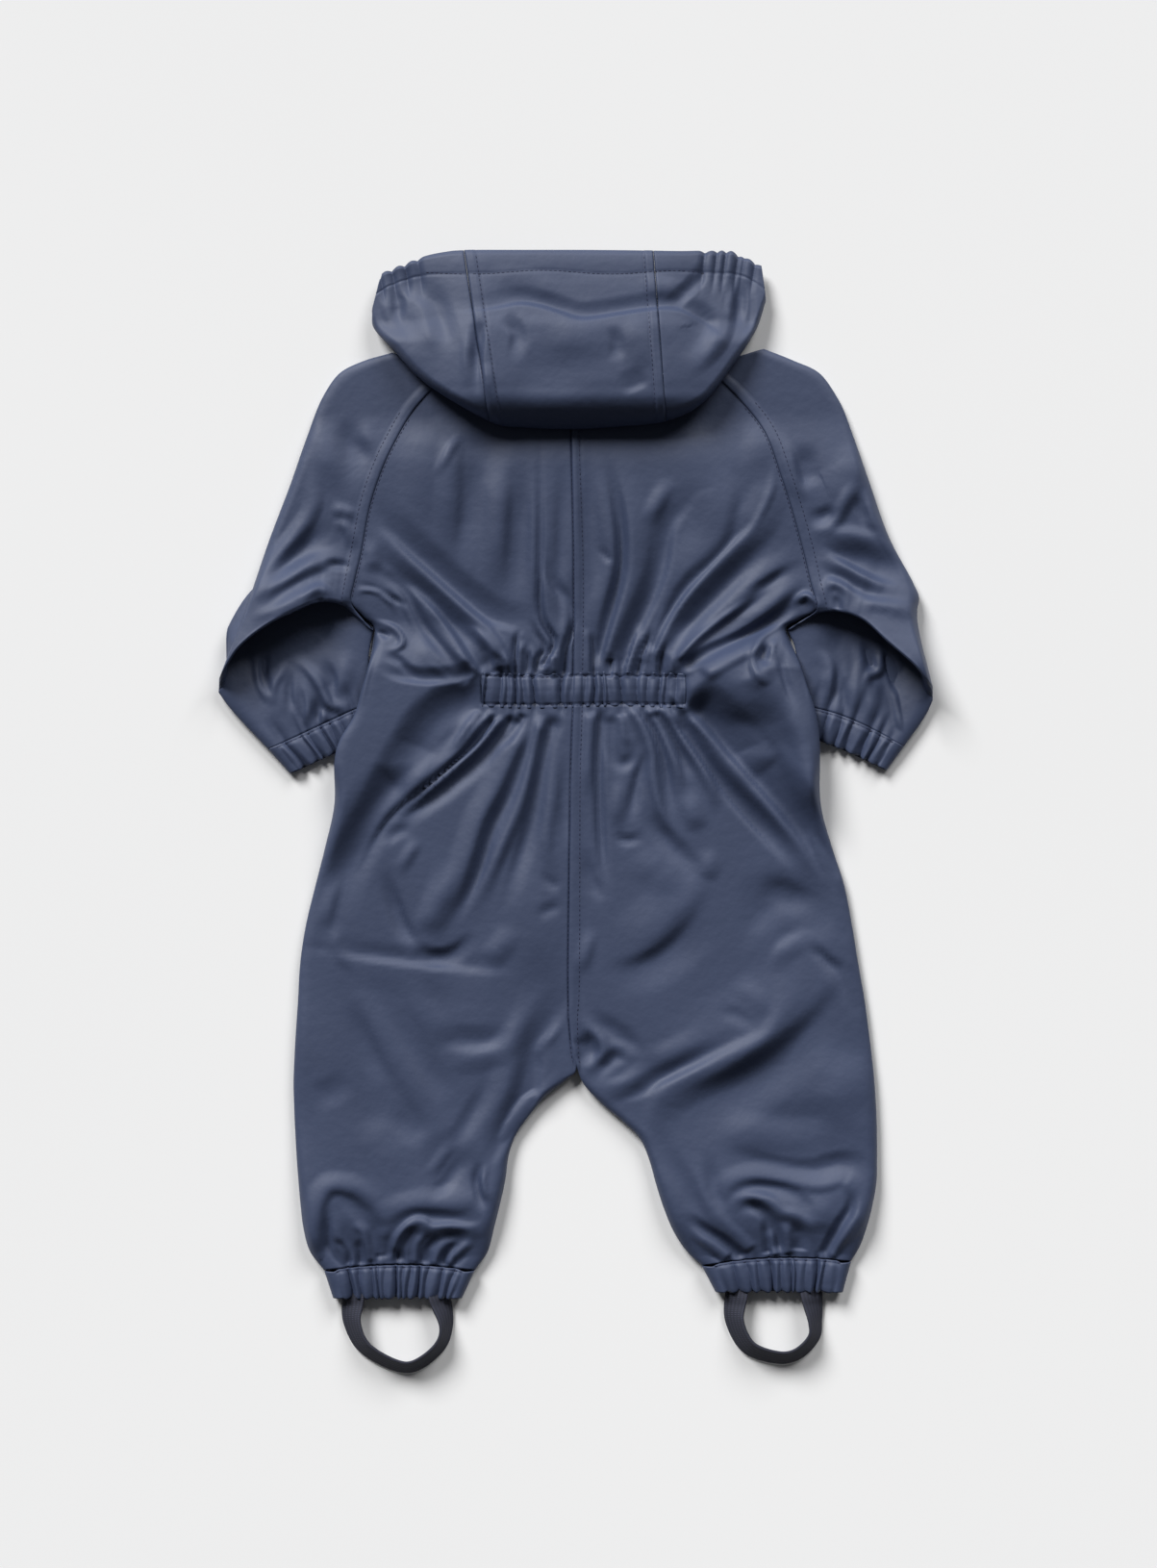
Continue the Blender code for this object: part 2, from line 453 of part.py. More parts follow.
def sleeve_back(side):
    """The outer face of the sleeve's upper piece: the upper arm, the turned fold over the forearm, the
    cloth that goes back under it, and the forearm to the cuff."""
    rows = SLEEVE[side]
    keys = [row.part for row in rows]

    def face(u, v):
        inner, outer = sleeve_edges(side, "back", v)
        width = np.linalg.norm(outer - inner, axis=-1)
        distance, drop_in, drop_out = across(u, width, CORNER_ROLL, CORNER_ROLL)
        part = distance / width
        straight = inner + (outer - inner) * part[..., None]

        # The rows bend into the line of the fold, and the forearm's into the line of the cuff.
        fold_line = through(keys, column(rows, "fold_x", "fold_y"), part)
        cuff_line = through(keys, column(rows, "cuff_x", "cuff_y"), part)
        down_arm = np.clip(v / RAGLAN_END, 0, 1)[..., None] ** 3
        down_forearm = np.clip((v - UNDERARM) / (CUFF_ROW - UNDERARM), 0, 1)[..., None]
        base = straight + bend(side, "back", RAGLAN_END, fold_line, part) * down_arm * (1 - down_forearm)
        base += bend(side, "back", CUFF_ROW, cuff_line, part) * down_forearm

        # The cloth turns over the fold's edge, goes back under the arm, turns again and comes out.
        edge_turn = math.pi * np.clip((v - RAGLAN_END) / (TURNED - RAGLAN_END), 0, 1)
        going_back = np.clip((v - TURNED) / (HOLLOW - TURNED), 0, 1)
        hollow_turn = math.pi * np.clip((v - HOLLOW) / (UNDERARM - HOLLOW), 0, 1)
        near_body = np.clip(1 - part / NEAR_BODY, 0, 1) ** 2
        tucked = ((1 - near_body) * ease(0.96, 0.8, part))[..., None]
        depth = through(keys, [row.depth for row in rows], part)
        turned_back = FOLD_RADIUS * (1 - np.sin(edge_turn)) * down_arm[..., 0] ** 2
        turned_back += (depth - FOLD_RADIUS) * going_back + HOLLOW_RADIUS * np.sin(hollow_turn)
        heading = cuff_line - fold_line
        heading /= np.linalg.norm(heading, axis=-1)[..., None]
        held = fold_line - straight - bend(side, "back", RAGLAN_END, fold_line, part)
        start_row = np.full_like(v, UNDERARM)
        near, far = sleeve_edges(side, "back", start_row)
        held_at_start = fold_line - near - (far - near) * part[..., None]
        held_at_start -= bend(side, "back", RAGLAN_END, fold_line, part)
        held = np.where((v < RAGLAN_END)[..., None], 0, np.where((v > UNDERARM)[..., None], held_at_start, held))
        plan = base + tucked * (held - heading * turned_back[..., None]) * (1 - down_forearm)
        x, y = np.moveaxis(plan, -1, 0)

        arm_top = top_face(x, y)
        fold_top = top_face(*np.moveaxis(fold_line, -1, 0))
        forearm_top = FOREARM_LOFT + fold_height(FOREARM_FOLDS, x, y) * down_forearm[..., 0] ** 0.5
        hollow_top = FOREARM_LOFT + 2 * HOLLOW_RADIUS
        under_fold = fold_top - FOLD_RADIUS * (1 - np.cos(edge_turn))
        under_fold += (hollow_top - under_fold) * going_back
        under_fold -= HOLLOW_RADIUS * (1 - np.cos(hollow_turn))
        walk = np.clip((v - RAGLAN_END) / (UNDERARM - RAGLAN_END), 0, 1)
        slope = arm_top + (forearm_top - arm_top) * walk * ease(0, 0.06, part)
        height = np.where(v > RAGLAN_END, under_fold + (slope - under_fold) * near_body, arm_top)
        height = np.where(v >= UNDERARM, forearm_top, height)
        height = np.maximum(height, RIM + RIM_HEADROOM * ease(0.8, 0.95, part))
        rim = RIM + SEAM / 2
        return np.stack([x, y, height - (walk * drop_in + drop_out) * (height - rim)], axis=-1)

    return face


def hood_top(x, y, bed):
    """Height of the hood's upper face over its bed: a soft dome that falls towards both sides."""
    middle = through([row[0] for row in HOOD_LOFT], [row[1] for row in HOOD_LOFT], y)
    fall = 1 - HOOD_SIDE_FALL * ease(*HOOD_SIDES, np.abs(x - HOOD_MIDDLE))
    return bed + (middle - bed) * fall + fold_height(HOOD_FOLDS, x, y)


def hood(c, r):
    """The hood's outer face: c runs along the columns of HOOD, r from the forehead edge over the top
    (0 to 1), round the outline (1 to 2) and back underneath to the neck (2 to 3)."""
    keys = range(len(HOOD))
    edge = through(keys, column(HOOD, "edge_x", "edge_y"), c)
    back = through(keys, column(HOOD, "back_x", "back_y"), c)
    neck = through(keys, column(HOOD, "neck_x", "neck_y"), c)
    length = np.linalg.norm(back - edge, axis=-1)
    heading = (back - edge) / length[..., None]
    roll = np.minimum(HOOD_ROLL, HOOD_LEAST_ROLL * length)
    turn = math.pi * np.clip(r - 1, 0, 1)
    distance = np.clip(r, 0, 1) * (length - roll) + roll * np.sin(turn)
    start_under = back - heading * roll[..., None]
    under = start_under + (neck - start_under) * np.clip(r - 2, 0, 1)[..., None]
    plan = np.where((r > 2)[..., None], under, edge + heading * distance[..., None])
    x, y = np.moveaxis(plan, -1, 0)
    bed = HOOD_BED * ease(*SHOULDER_LINE, y)
    top = hood_top(x, y, bed)
    middle = bed + HOOD_WAIST * (top - bed)
    height = middle + np.where(turn < math.pi / 2, top - middle, middle - bed) * np.cos(turn)
    height = np.where(r > 2, bed, height)
    from_end = np.minimum(c, len(HOOD) - 1 - c)
    gathers = HOOD_GATHER * np.sin(2 * math.pi * from_end * 2.1) * ease(2.4, 1.6, from_end) * ease(0.32, 0.1, r)
    return np.stack([x, y, height + gathers * ease(0, 0.2, from_end)], axis=-1)


def ring(sewn, end, loft, gathers):
    """The outer face of a flat elasticated ring: u runs round it, v from the sewn edge to the open one.
    sewn and end give the points across it; the gathers stand on its upper side."""

    def face(u, v):
        turn_far = math.pi * np.clip((u - RING_TOP) / (RING_FAR - RING_TOP), 0, 1)
        turn_near = math.pi * np.clip((u - RING_UNDER) / (1 - RING_UNDER), 0, 1)
        out = np.clip(u / RING_TOP, 0, 1) - np.clip((u - RING_FAR) / (RING_UNDER - RING_FAR), 0, 1)
        first, last = (sewn(np.full_like(u, part)) * (1 - v)[..., None] + end(np.full_like(u, part)) * v[..., None]
                       for part in (0, 1))
        roll = RING_ROLL / np.linalg.norm(last - first, axis=-1)
        part = roll + out * (1 - 2 * roll) + roll * (np.sin(turn_far) - np.sin(turn_near))
        plan = sewn(part) * (1 - v)[..., None] + end(part) * v[..., None]
        gap = (end(part) - sewn(part))
        plan = plan + gap / np.linalg.norm(gap, axis=-1)[..., None] * (SEAM * (1 - v))[..., None]
        upper = np.where(u > RING_UNDER, (1 - np.cos(turn_near)) / 2, (1 + np.cos(turn_far)) / 2)
        wave = GATHER_HEIGHT * np.sin(2 * math.pi * gathers * out) * (u < RING_TOP) * ease(0, 0.08, out) * ease(1, 0.92, out)
        return np.concatenate([plan, (loft * upper + wave)[..., None]], axis=-1)

    return face


def band(u, v):
    """The outer face of the waist casing, gathered by its elastic."""
    x = BAND.x + (u - 0.5) * BAND.width
    y = BAND.y + (0.5 - v) * BAND.height
    wave = GATHER_HEIGHT * np.sin(2 * math.pi * BAND_GATHERS * u)
    return np.stack([x, y, LOFT - 1 + 2.5 * SEAM + CLOTH + GATHER_HEIGHT + wave], axis=-1)


def closure(u, v):
    """The outer face of the closure strip, flat on the ground between the two fronts."""
    top, foot = CLOSURE.y + CLOSURE.height / 2, CLOSURE.y - CLOSURE.height / 2
    y = np.where(v < 1, top + (foot - top) * v, foot - CLOSURE_TIP * (v - 1))
    half = CLOSURE.width / 2 + (SEAM - CLOSURE.width / 2) * np.clip(v - 1, 0, 1)
    return np.stack([CLOSURE.x + (2 * u - 1) * half, y, np.zeros_like(y)], axis=-1)


def stirrup(side):
    """The upper face of a stirrup's webbing: u runs across its width from the low edge, v along it."""
    rows = STIRRUP[side]
    keys = range(len(rows))

    def face(u, v):
        centre = through(keys, column(rows, "x", "y"), v)
        step = 1e-3
        low, high = np.maximum(v - step, 0), np.minimum(v + step, len(rows) - 1)
        forward = through(keys, column(rows, "x", "y"), high) - through(keys, column(rows, "x", "y"), low)
        forward /= np.linalg.norm(forward, axis=-1)[..., None]
        outward = np.stack([forward[..., 1], -forward[..., 0]], axis=-1)
        lean = np.radians(through(keys, [row.lean for row in rows], v))
        plan = centre + outward * ((0.5 - u) * WEBBING_WIDTH * np.cos(lean))[..., None]
        foot = WEBBING_THICK * np.cos(lean) + (CLOTH + SEAM) * ease(LOOP_LIFT[0], LOOP_LIFT[1], centre[..., 1])
        return np.concatenate([plan, (foot + u * WEBBING_WIDTH * np.sin(lean))[..., None]], axis=-1)

    return face


def wall(name, face, us, vs, outward, material, thickness=CLOTH, closed=False):
    """One closed wall: the outer face sampled at us and vs, and the same face moved in by the thickness.
    outward is 1 where u cross v points out of the cloth, and -1 where it points in."""
    u, v = np.meshgrid(np.asarray(us, float), np.asarray(vs, float))
    outer = face(u, v)
    tiny_u, tiny_v = (us[-1] - us[0]) * 1e-3, (vs[-1] - vs[0]) * 1e-4
    left, right = np.maximum(u - tiny_u, us[0]), np.minimum(u + tiny_u, us[-1])
    down, up = np.maximum(v - tiny_v, vs[0]), np.minimum(v + tiny_v, vs[-1])
    normal = outward * np.cross(face(right, v) - face(left, v), face(u, up) - face(u, down))
    normal /= np.linalg.norm(normal, axis=-1)[..., None]
    if closed:
        normal[:, 0] = normal[:, -1] = (normal[:, 0] + normal[:, -1]) / 2
        outer, normal = outer[:, :-1], normal[:, :-1]
    inner = outer - thickness * normal
    rows, columns = outer.shape[:2]
    number = np.arange(rows * columns).reshape(rows, columns)
    beside = np.roll(number, -1, axis=1) if closed else number[:, 1:]
    here = number if closed else number[:, :-1]
    quads = np.stack([here[:-1], beside[:-1], beside[1:], here[1:]], axis=-1).reshape(-1, 4)
    if outward < 0:
        quads = quads[:, ::-1]
    below = rows * columns
    edges = {(quad[i], quad[(i + 1) % 4]) for quad in quads.tolist() for i in range(4)}
    rim = [(b, a, a + below, b + below) for a, b in sorted(edges) if (b, a) not in edges]
    faces = quads.tolist() + (quads[:, ::-1] + below).tolist() + rim
    points = np.concatenate([outer.reshape(-1, 3), inner.reshape(-1, 3)]) * MM
    mesh = bpy.data.meshes.new(name)
    mesh.from_pydata(points.tolist(), [], faces)
    mesh.materials.append(material)
    mesh.shade_smooth()
    mesh.set_sharp_from_angle(angle=math.radians(50))
    made = bpy.data.objects.new(name, mesh)
    bpy.context.scene.collection.objects.link(made)
    made.parent = garment
    return made


def cloth_material(name, colour, roughness):
    material = bpy.data.materials.new(name)
    material.use_nodes = True
    shader = material.node_tree.nodes["Principled BSDF"]
    shader.inputs["Base Color"].default_value = colour
    shader.inputs["Roughness"].default_value = roughness
    shader.inputs["Metallic"].default_value = 0.0
    return material


def steps(*stops):
    """Samples through stops given as value, count, value, count, value."""
    samples = [stops[0]]
    for start, count, end in zip(stops[::2], stops[1::2], stops[2::2]):
        samples += [start + (end - start) * (i + 1) / count for i in range(count)]
    return samples


for old in list(bpy.data.objects):
    bpy.data.objects.remove(old, do_unlink=True)

coated_cloth = cloth_material("coated_cloth", NAVY, 0.42)
webbing = cloth_material("stirrup_webbing", DARK_NAVY, 0.85)
garment = bpy.data.objects.new("puddle_suit", None)
bpy.context.scene.collection.objects.link(garment)

# Samples across and along each piece. The back and the sleeve's upper piece share their raglan rows,
# and so do the front and the sleeve's under piece.
FOLD_ROWS = steps(RAGLAN_END, 4, TURNED, 2, HOLLOW, 3, UNDERARM)
BACK_ROWS = steps(0, 9, RAGLAN_END)[:-1] + FOLD_ROWS
FRONT_ROWS = steps(0, 5, RAGLAN_END, 3, UNDERARM)
SIDE_ROWS = steps(UNDERARM, 23, len(BODY[LEFT]) - 1)[1:]
PANEL_ACROSS = steps(0, 2, ROLL_IN_END, 9, ROLL_OUT_START, 3, 1)
FRONT_ACROSS = steps(0, 2, ROLL_IN_END, 6, ROLL_OUT_START, 3, 1)
SLEEVE_ACROSS = steps(0, 2, ROLL_IN_END, 8, ROLL_OUT_START, 3, 1)
UNDER_ACROSS = steps(0, 3, ROLL_IN_END, 3, ROLL_OUT_START, 3, 1)
FOREARM_ROWS = steps(UNDERARM, 6, CUFF_ROW)[1:]

for side, word in ((LEFT, "left"), (RIGHT, "right")):
    # u cross v points up on the left and down on the right.
    up = 1 if side == LEFT else -1
    wall(f"back_{word}", panel(side, "back"), PANEL_ACROSS, BACK_ROWS + SIDE_ROWS, up, coated_cloth)
    wall(f"front_{word}", panel(side, "front"), FRONT_ACROSS, FRONT_ROWS + SIDE_ROWS, -up, coated_cloth)
    wall(f"sleeve_back_{word}", sleeve_back(side), SLEEVE_ACROSS, BACK_ROWS + FOREARM_ROWS, up, coated_cloth)
    wall(f"sleeve_front_{word}", sleeve_front(side), UNDER_ACROSS, FRONT_ROWS + FOREARM_ROWS, -up, coated_cloth)

    def cuff_sewn(part, rows=SLEEVE[side]):
        return through([row.part for row in rows], column(rows, "cuff_x", "cuff_y"), part)

    def cuff_end(part, rows=SLEEVE[side]):
        return through([row.part for row in rows], column(rows, "end_x", "end_y"), part)

    def hem_sewn(part, hem=LEG_HEM[side]):
        return np.array(hem.sewn_in) + (np.array(hem.sewn_out) - hem.sewn_in) * part[..., None]

    def hem_end(part, hem=LEG_HEM[side]):
        return np.array(hem.end_in) + (np.array(hem.end_out) - hem.end_in) * part[..., None]

    for name, sewn, end, loft, gathers in (
            ("cuff", cuff_sewn, cuff_end, CUFF_LOFT, CUFF_GATHERS),
            ("leg_hem", hem_sewn, hem_end, LEG_HEM[side].loft, LEG_HEM[side].gathers)):
        around = steps(0, 4 * gathers, RING_TOP, 4, RING_FAR, 3, RING_UNDER, 4, 1)
        wall(f"{name}_{word}", ring(sewn, end, loft, gathers), around, [0, 1], up, coated_cloth, closed=True)

    along = steps(0, 2 * len(STIRRUP[side]) + 4, len(STIRRUP[side]) - 1)
    wall(f"stirrup_{word}", stirrup(side), [0, 1], along, 1, webbing, WEBBING_THICK)

HOOD_ALONG = steps(0, 7, 1, 6, 2, 2, 3)
last = len(HOOD) - 1
seam_c = 0.004
HOOD_PIECES = {
    "hood_left": steps(0, 8, 1.9, 3, HOOD_SEAMS[0] - seam_c),
    "hood_center": steps(HOOD_SEAMS[0] + seam_c, 8, HOOD_SEAMS[1] - seam_c),
    "hood_right": steps(HOOD_SEAMS[1] + seam_c, 3, last - 1.9, 8, last),
}
for name, columns in HOOD_PIECES.items():
    wall(name, hood, columns, HOOD_ALONG, -1, coated_cloth)

wall("waist_casing", band, steps(0, 4 * BAND_GATHERS, 1), [0, 1], -1, coated_cloth)
wall("front_closure", closure, [0, 1], [0, 1, 2], 1, coated_cloth)
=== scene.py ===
"""A baby's hooded puddle suit of coated cloth, laid flat with its back up, seen from straight above.

Sizes are in millimetres and become metres in the meshes. +Z is up from the floor, +Y points to the
hood, X runs across it, and the origin is on the floor under the middle of the suit.
"""

from collections import namedtuple
import math

import bpy
import numpy as np
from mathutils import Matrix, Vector
from mathutils.bvhtree import BVHTree


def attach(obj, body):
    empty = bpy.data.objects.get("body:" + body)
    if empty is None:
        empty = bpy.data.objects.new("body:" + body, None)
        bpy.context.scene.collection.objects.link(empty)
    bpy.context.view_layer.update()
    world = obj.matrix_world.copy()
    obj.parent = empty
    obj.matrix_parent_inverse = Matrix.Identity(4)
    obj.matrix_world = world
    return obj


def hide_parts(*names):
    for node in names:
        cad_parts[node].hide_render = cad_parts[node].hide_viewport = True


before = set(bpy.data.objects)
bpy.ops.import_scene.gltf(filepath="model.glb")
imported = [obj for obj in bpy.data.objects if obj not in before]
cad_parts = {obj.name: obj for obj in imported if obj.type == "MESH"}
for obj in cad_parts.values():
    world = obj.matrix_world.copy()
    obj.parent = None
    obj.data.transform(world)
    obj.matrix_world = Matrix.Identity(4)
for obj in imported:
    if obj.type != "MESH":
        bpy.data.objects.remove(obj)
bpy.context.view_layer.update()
bpy.ops.object.select_all(action="DESELECT")

# ---- Camera ----
# It hangs straight over the suit and looks down, with its top towards the hood.

MM = 0.001
CAMERA_PLACE = Vector((1.3, 18, 2500)) * MM
SEEN_HEIGHT = 1027 * MM     # of the photograph's frame, at the height of the cloth
CLOTH_HEIGHT = 5 * MM
SENSOR = 24.0

lens = bpy.data.cameras.new("camera")
lens.sensor_fit = "VERTICAL"
lens.sensor_height = SENSOR
lens.lens = SENSOR * (CAMERA_PLACE.z - CLOTH_HEIGHT) / SEEN_HEIGHT
camera = bpy.data.objects.new("camera", lens)
camera.location = CAMERA_PLACE
bpy.context.scene.collection.objects.link(camera)
bpy.context.scene.camera = camera

# ---- Floor and light ----
# The suit lies on a white studio board. Two large soft lamps stand beyond the hood and fairly low,
# so that creases show: the key on the left and a weaker one on the right. The white room fills in.

FLOOR_SIZE = 60000 * MM     # no edge of it shows in a low view
FLOOR_DROP = 0.05 * MM      # the board's face is just clear of the cloth's
ROOM_LIGHT = 0.06

# turn is in degrees from +X towards +Y, rise up from the floor, and span how wide the lamp looks.
Lamp = namedtuple("Lamp", "name turn rise span light")
LAMPS = [Lamp("key_lamp", 122, 33, 24, 3.6), Lamp("second_lamp", 62, 31, 28, 1.7)]


def colour(code):
    """The linear colour of an sRGB hex code."""
    parts = [int(code[i:i + 2], 16) / 255 for i in (1, 3, 5)]
    return [part / 12.92 if part <= 0.04045 else ((part + 0.055) / 1.055) ** 2.4 for part in parts] + [1]


def add(tree, kind, settings=(), **inputs):
    """A new node with its settings, and with values or other nodes' outputs on its inputs."""
    node = tree.nodes.new("ShaderNode" + kind)
    for name, value in settings:
        setattr(node, name, value)
    for name, value in inputs.items():
        socket = node.inputs[int(name[1:]) if name[0] == "_" else name.replace("_", " ")]
        if isinstance(value, bpy.types.NodeSocket):
            tree.links.new(value, socket)
        else:
            socket.default_value = value
    return node


def new_material(name, roughness, ior):
    """A material with its shader's plain values set: (node tree, shader)."""
    made = bpy.data.materials.new(name)
    made.use_nodes = True
    shader = made.node_tree.nodes["Principled BSDF"]
    shader.inputs["Roughness"].default_value = roughness
    shader.inputs["IOR"].default_value = ior
    return made, made.node_tree, shader


# Matt painted board: an even white that takes only soft shadows.
board, tree, shader = new_material("matt_white_board", roughness=0.9, ior=1.45)
spot = add(tree, "TexCoord").outputs["Object"]
mottle = add(tree, "TexNoise", Vector=spot, Scale=1.5, Detail=1).outputs["Fac"]
shade = add(tree, "Mix", [("data_type", "RGBA")], _0=mottle, _6=colour("#f0f0f0"), _7=colour("#f4f4f4"))
tree.links.new(shade.outputs[2], shader.inputs["Base Color"])

bpy.ops.mesh.primitive_plane_add(size=FLOOR_SIZE, location=(0, 0, -FLOOR_DROP))
floor = bpy.context.object
floor.name = "studio_board"
bpy.ops.object.transform_apply(location=True, rotation=True, scale=True)
floor.data.materials.append(board)

for lamp in LAMPS:
    light = bpy.data.lights.new(lamp.name, "SUN")
    light.angle = math.radians(lamp.span)
    light.energy = lamp.light
    hung = bpy.data.objects.new(lamp.name, light)
    hung.rotation_euler = (0, math.radians(90 - lamp.rise), math.radians(lamp.turn))
    bpy.context.scene.collection.objects.link(hung)
room = bpy.data.worlds.new("room")
room.use_nodes = True
room.node_tree.nodes["Background"].inputs["Color"].default_value = colour("#f2f4f8")
room.node_tree.nodes["Background"].inputs["Strength"].default_value = ROOM_LIGHT
bpy.context.scene.world = room
bpy.context.scene.view_settings.view_transform = "Standard"

# ---- Back panels ----
# The two halves of the back are the widest cut pieces, of polyester taffeta coated with
# polyurethane. They lie on the fronts, from the hood to the leg hems, in creases and soft folds.

CLOTH = 0.6          # thickness of the coated cloth
SEAM = 0.12          # gap between two pieces at a sewn seam
RIM = 4.4            # height of the side seams, half way up the suit's rounded edge
LOFT = 8.0           # usual height of the back over the floor
LEG_LOFT = 4.5       # how much fuller the legs are above their hems
HEM_FALL = 6.0       # how far they drop again to the hems' stitches
SHOULDER_LOFT = 4.0  # how far the back slopes up from the waist to the shoulders
TUCK_LIFT = 9.4      # how far the body rises where it lies on a tucked cuff
LEAST_LOFT = 2.2     # the deepest trough's height
RIM_HEADROOM = 3.2   # the least height of a rounded edge over its rim
CORNER_ROLL = 8.0    # radius across a rounded edge
PLAIN_ROLL = 2.0     # the same at a flat seam
FRONT_NECK_DROP = 18.0
RIGHT, LEFT = 1, -1

# Where a height begins to change and where it has changed in full, along Y.
BACK_FROM_HOOD, ARMS_FROM_HOOD = (260, 238), (262, 240)     # the creases come out from under the hood
SHOULDER_RISE, SHOULDER_END = (96, 215), (262, 225)
LEG_BILLOW, HEM_CLOSE = (-190, -258), (-262, -302)
LEG_PUCKERS = (-288, -299)
BOW_RISE, BOW_END = (-262, -296), (-318, -301)
SEAM_END = (-172, -164)        # the centre seam's strip ends at the crotch

# The same from the waist casing's edge outwards.
CASING_PRESS = (3, -1)         # the casing presses the creases under it flatter
CASING_SEAT = (0.5, -2.5)      # the back sinks behind it
CASING_PULL, CASING_CLEAR = (12, 1), (-2, 0)     # its puckers run on into the cloth beside it


def rows_of(kind, *rows):
    """The rows of a table, their columns named as kind names them."""
    return [kind(*row) for row in rows]


Strip = namedtuple("Strip", "x y width height")
BAND = Strip(4.5, 79.5, 133.0, 19.5)         # the waist casing
CLOSURE = Strip(0, 61.5, 34.0, 419.0)        # the hidden strip between the two fronts
CLOSURE_TIP = 18.0         # it narrows to a point over this length
CLOSURE_ROWS = (21, 22)    # the rows of BODY between which it does

# Rows of the body from the neck to the leg's hem stitching. The inner point is on the centre back
# seam or the inseam. The back and the front each end on their raglan seam down to the underarm
# (row 9) and on the side seam after it. side and leg say how much of the edge is a rounded edge.
Section = namedtuple("Section", "inner_x inner_y back_x back_y front_x front_y side leg")


def joined(inner_x, inner_y, side_x, side_y, leg=0):
    """A section below the underarm, where the back and the front meet at the side seam."""
    return Section(inner_x, inner_y, side_x, side_y, side_x, side_y, 1, leg)


BODY = {
    LEFT: rows_of(Section,
        (-3.3, 289, -84, 287, -80, 285, 0, 0), (-3.4, 266, -106, 263, -94, 260, 0, 0),
        (-3.5, 244, -119, 241, -105, 237, 0, 0), (-3, 221, -128.5, 219.5, -113, 214, 0, 0),
        (-2.4, 196, -135.5, 197, -120, 190, 0, 0), (-1.7, 169, -140.5, 170, -126, 164, 0, 0),
        (-1.6, 149, -145, 150, -129.5, 143, 0, 0), (-1.6, 136, -147, 137, -131, 130, 0, 0),
        (-1.6, 127, -139.5, 127.5, -131.8, 123.5, 0.5, 0),
    ) + rows_of(joined,
        (-1.7, 117, -132.2, 118.5), (-2, 98, -135.8, 96.5), (-2.1, 80, -140.8, 78.5),
        (-2.4, 62, -145.5, 62.5), (-3, 45, -154.8, 46.5), (-3.6, 30, -158.2, 32), (-4.3, 4, -158.8, 4),
        (-4.6, -22, -164.7, -23), (-4.9, -48, -171, -48), (-5.2, -74, -177.3, -74),
        (-5.4, -99, -181.1, -99), (-5.4, -124, -182.6, -124), (-4.2, -148, -184.3, -149),
        (0, -168, -185.3, -170, 0.2), (-7, -176, -185.5, -180, 0.6), (-20.5, -187, -185.2, -191, 1),
        (-31.5, -200, -184.8, -202, 1), (-40, -212.5, -184.2, -213.5, 1), (-44.5, -226, -183.5, -226, 1),
        (-46.5, -241, -182.4, -241, 1), (-50, -257, -181, -257, 1), (-54, -273, -179, -273, 1),
        (-58, -288, -174.8, -288, 1), (-66.5, -300.5, -165.5, -300.5, 1),
    ),
    RIGHT: rows_of(Section,
        (-3.3, 289, 84, 291, 80, 285, 0, 0), (-3.4, 266, 106, 270, 94, 260, 0, 0),
        (-3.5, 244, 123, 248, 106, 237, 0, 0), (-3, 221, 133.5, 219.5, 116, 214, 0, 0),
        (-2.4, 196, 140.5, 198, 124, 190, 0, 0), (-1.7, 169, 148.5, 169, 131, 164, 0, 0),
        (-1.6, 149, 153.5, 147, 135, 143, 0, 0), (-1.6, 136, 157, 133, 136.2, 130, 0, 0),
        (-1.6, 127, 146.5, 126, 136.8, 124, 0.5, 0),
    ) + rows_of(joined,
        (-1.7, 117, 137.2, 119), (-2, 100, 144, 102), (-2.1, 82, 150.3, 83.5), (-2.4, 64, 156.4, 64.5),
        (-3, 46, 158.8, 46.5), (-3.6, 30, 159.2, 31), (-4.3, 4, 160.2, 4), (-4.6, -22, 167.3, -23),
        (-4.9, -48, 175.4, -48), (-5.2, -74, 180.5, -74), (-5.4, -99, 184.6, -99),
        (-5.4, -124, 188.9, -124), (-4.2, -148, 192.2, -149), (0.4, -168, 194.7, -170, 0.2),
        (5, -179, 195.6, -181, 0.6), (16, -191, 196.3, -192, 1), (30, -203, 196.8, -204, 1),
        (41.5, -214.5, 197, -215, 1), (47.5, -228, 197, -228, 1), (52, -244, 196.6, -243, 1),
        (57.5, -261, 193.8, -259, 1), (64, -276, 190, -273, 1), (72.5, -288.5, 185.6, -285, 1),
        (82, -297.3, 180, -294.5, 1),
    ),
}
UNDERARM = 9          # the row of BODY where the raglan seams and the side seam meet
RAGLAN_END = 7        # the row where the raglan seam reaches the fold over the forearm
BELOW_WAIST = 13      # the row under the waist's puckers
ROLL_IN_END, ROLL_OUT_START = 0.12, 0.82     # where a panel's rounded edges end and begin
EDGE_BLEND = (26, 9)  # the creases die out between these distances from a rounded edge

# The felled centre seam: its two lines of stitching against the place along the back.
SeamLine = namedtuple("SeamLine", "y left right")
CENTRE_SEAM = rows_of(SeamLine,
    (-166, -1.5, 2.5), (-160, -3, 0.9), (-134, -5.2, 0.3), (-105, -5.4, 1.6), (15, -4.1, 2),
    (69, -2.2, 3.3), (128, -1.6, 4.1), (170, -1.7, 3.7), (247, -3.5, 1.3), (290, -3.3, 1.3),
)
STRIP_RISE, GROOVE = 1.0, 1.0      # a felled seam stands this proud, and its stitches pull in this far
STITCH_WIDTH, FOLD_WIDTH = 1.6, 1.2      # of the groove along its stitches, and along its folded edge
STRIP_EDGE, STRIP_FOOT = 0.2, 0.9        # its side falls from this far inside to this far outside the line
OFF_STRIP = 0.3                          # its stitches lie this far beside it

